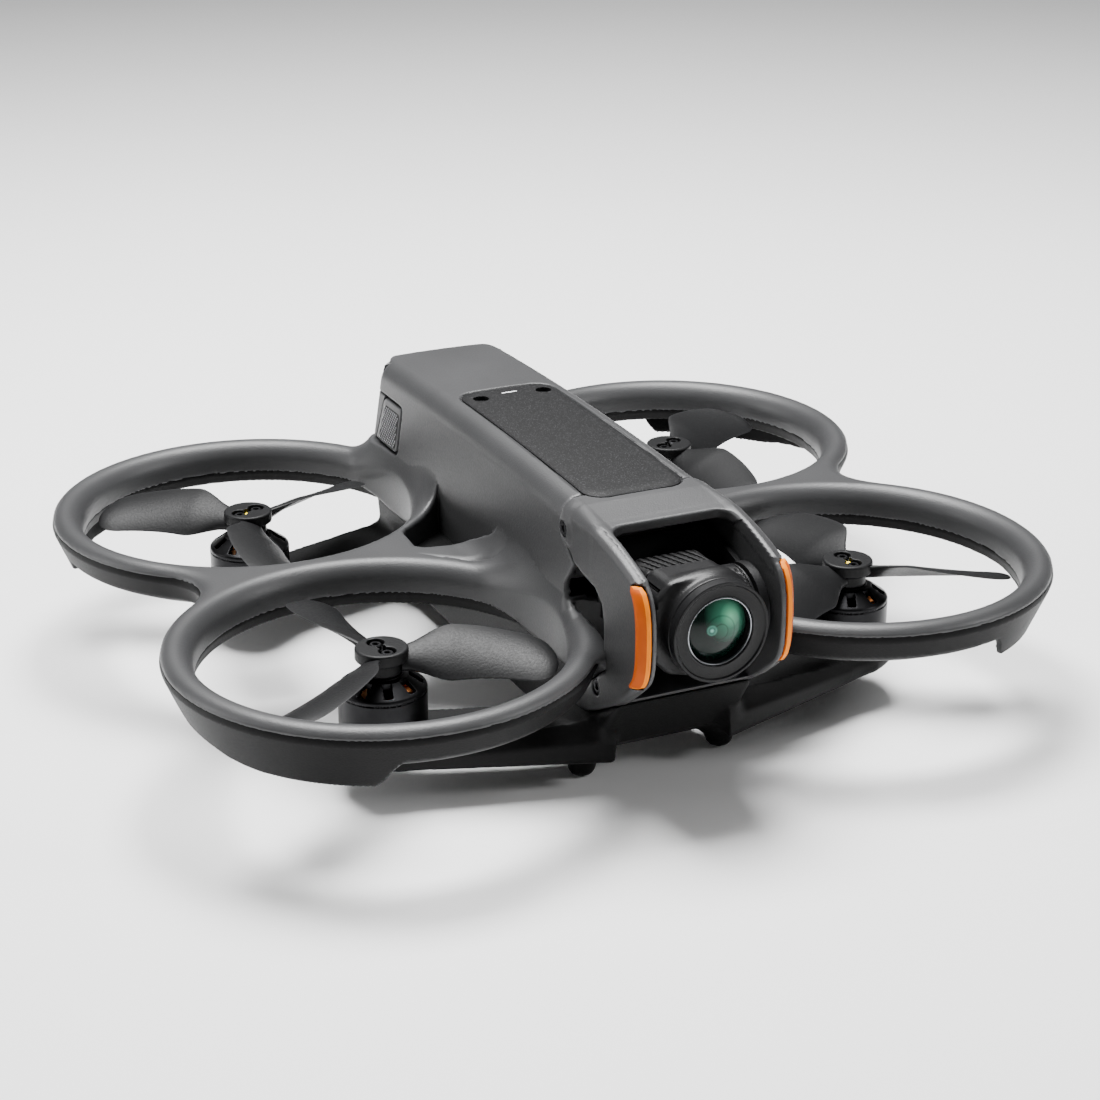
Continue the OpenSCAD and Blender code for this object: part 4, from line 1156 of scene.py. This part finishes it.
# name, field, low and high corner, cell, mirrored, material, body, nodes it stands for
MOULDINGS = [
    ("upper_shell_moulding", shell_field, (0, -93.2, 20.8), (107, 93.2, 65), 0.7, True,
     "shell_grey", "root", "upper_shell"),
    ("guard_moulding", guard_field, (0, -93.2, 20), (107, 93.2, 36), 0.65, True,
     "frame_black", "root", "lower_guard_left", "lower_guard_right"),
    ("bumper_moulding", bumper_field, (0, -90.4, 11.0), (20.5, -47.5, 64), 0.5, True,
     "shell_grey", "root", "front_bumper"),
    ("lower_frame_moulding", frame_field, (0, -77.5, -0.8), (71.5, 71, 24.6), 0.75, True,
     "frame_black", "root", "lower_frame"),
    ("battery_end_cap", cap_field, (-18.2, 55.5, 39), (18.2, 72, 62), 0.45, False,
     "shell_grey", "battery", "battery_cap"),
    ("camera_front_shell", camera_field, (-14, -89.6, 31), (14, -67, 55), 0.42, False,
     "camera_charcoal", "camera", "camera_body"),
    ("camera_back_shell", rear_cover_field, (-13.5, -76, 32), (9.5, -66, 54), 0.42, False,
     "camera_black", "camera", "camera_rear_cover"),
]


def build_mouldings():
    for name, field, low, high, cell, mirrored, slot, body, *nodes in MOULDINGS:
        finish_piece(mesh_field(name, field, low, high, cell, mirrored), slot, body, *nodes)


# ---- everything else keeps its CAD shape ----

def dress_nodes():
    """Gives every CAD node the material of its slot."""
    for part in frame["record"]["subparts"]:
        ob = frame["nodes"][part["node"]]
        ob.data.materials.clear()
        ob.data.materials.append(MATERIALS[part["material_slot"]])


# ---- stage ----

def area(name, place, target, size, power):
    """White rectangular light that faces its target."""
    light = bpy.data.lights.new(name, "AREA")
    light.shape = "RECTANGLE"
    light.size, light.size_y = size
    light.energy = power
    ob = add_object(name, light)
    ob.location = place
    ob.rotation_euler = (Vector(target) - Vector(place)).to_track_quat("-Z", "Y").to_euler()


def build_stage():
    """Pale floor, white surroundings and three soft lights."""
    n = Nodes("floor_pale", 0.6)
    n.colour(n.ramp(n.noise(3.0, 2.0), [(0.3, (0.8, 0.8, 0.8)), (0.7, (0.83, 0.83, 0.83))]))
    n.bump(n.noise(400.0, 2.0), 0.1, 0.00002)
    half = 6000
    corners = [(-half, -half, 0), (half, -half, 0), (half, half, 0), (-half, half, 0)]
    floor = collect("studio_floor", corners, [(0, 1, 2, 3)])
    floor.location.z = -0.0002
    floor.data.materials.append(n.mat)
    world = bpy.data.worlds.new("studio")
    bpy.context.scene.world = world
    world.use_nodes = True
    back = world.node_tree.nodes["Background"]
    back.inputs["Color"].default_value = (1, 1, 1, 1)
    back.inputs["Strength"].default_value = 0.17
    area("key_overhead", (0.02, 0.2, 0.75), (0, 0, 0.03), (0.55, 0.4), 26.0)
    area("key_front", (0.75, -0.6, 0.55), (0, -0.05, 0.04), (0.2, 0.2), 4.0)
    area("rim_left", (-0.8, 0.35, 0.3), (0, 0, 0.04), (0.25, 0.5), 3.2)


def build_view():
    """Camera at the photograph's angle."""
    cam = bpy.data.cameras.new("view")
    cam.lens = 78.6
    cam.sensor_width = 36.0
    cam.sensor_fit = "HORIZONTAL"
    cam.clip_start, cam.clip_end = 0.01, 20.0
    ob = add_object("view", cam)
    azimuth, elevation, away = math.radians(-25.14), math.radians(22.06), 0.5793
    target = Vector((0.0026, 0.0, 0.0283))
    flat = math.cos(elevation)
    out = Vector((math.sin(azimuth) * flat, -math.cos(azimuth) * flat, math.sin(elevation)))
    ob.location = target + out * away
    ob.rotation_euler = (-out).to_track_quat("-Z", "Y").to_euler()
    bpy.context.scene.camera = ob


build_mouldings()
build_stripes()
build_screws()
build_panel()
build_buttons()
build_rotors()
build_lens()
dress_nodes()
build_stage()
build_view()
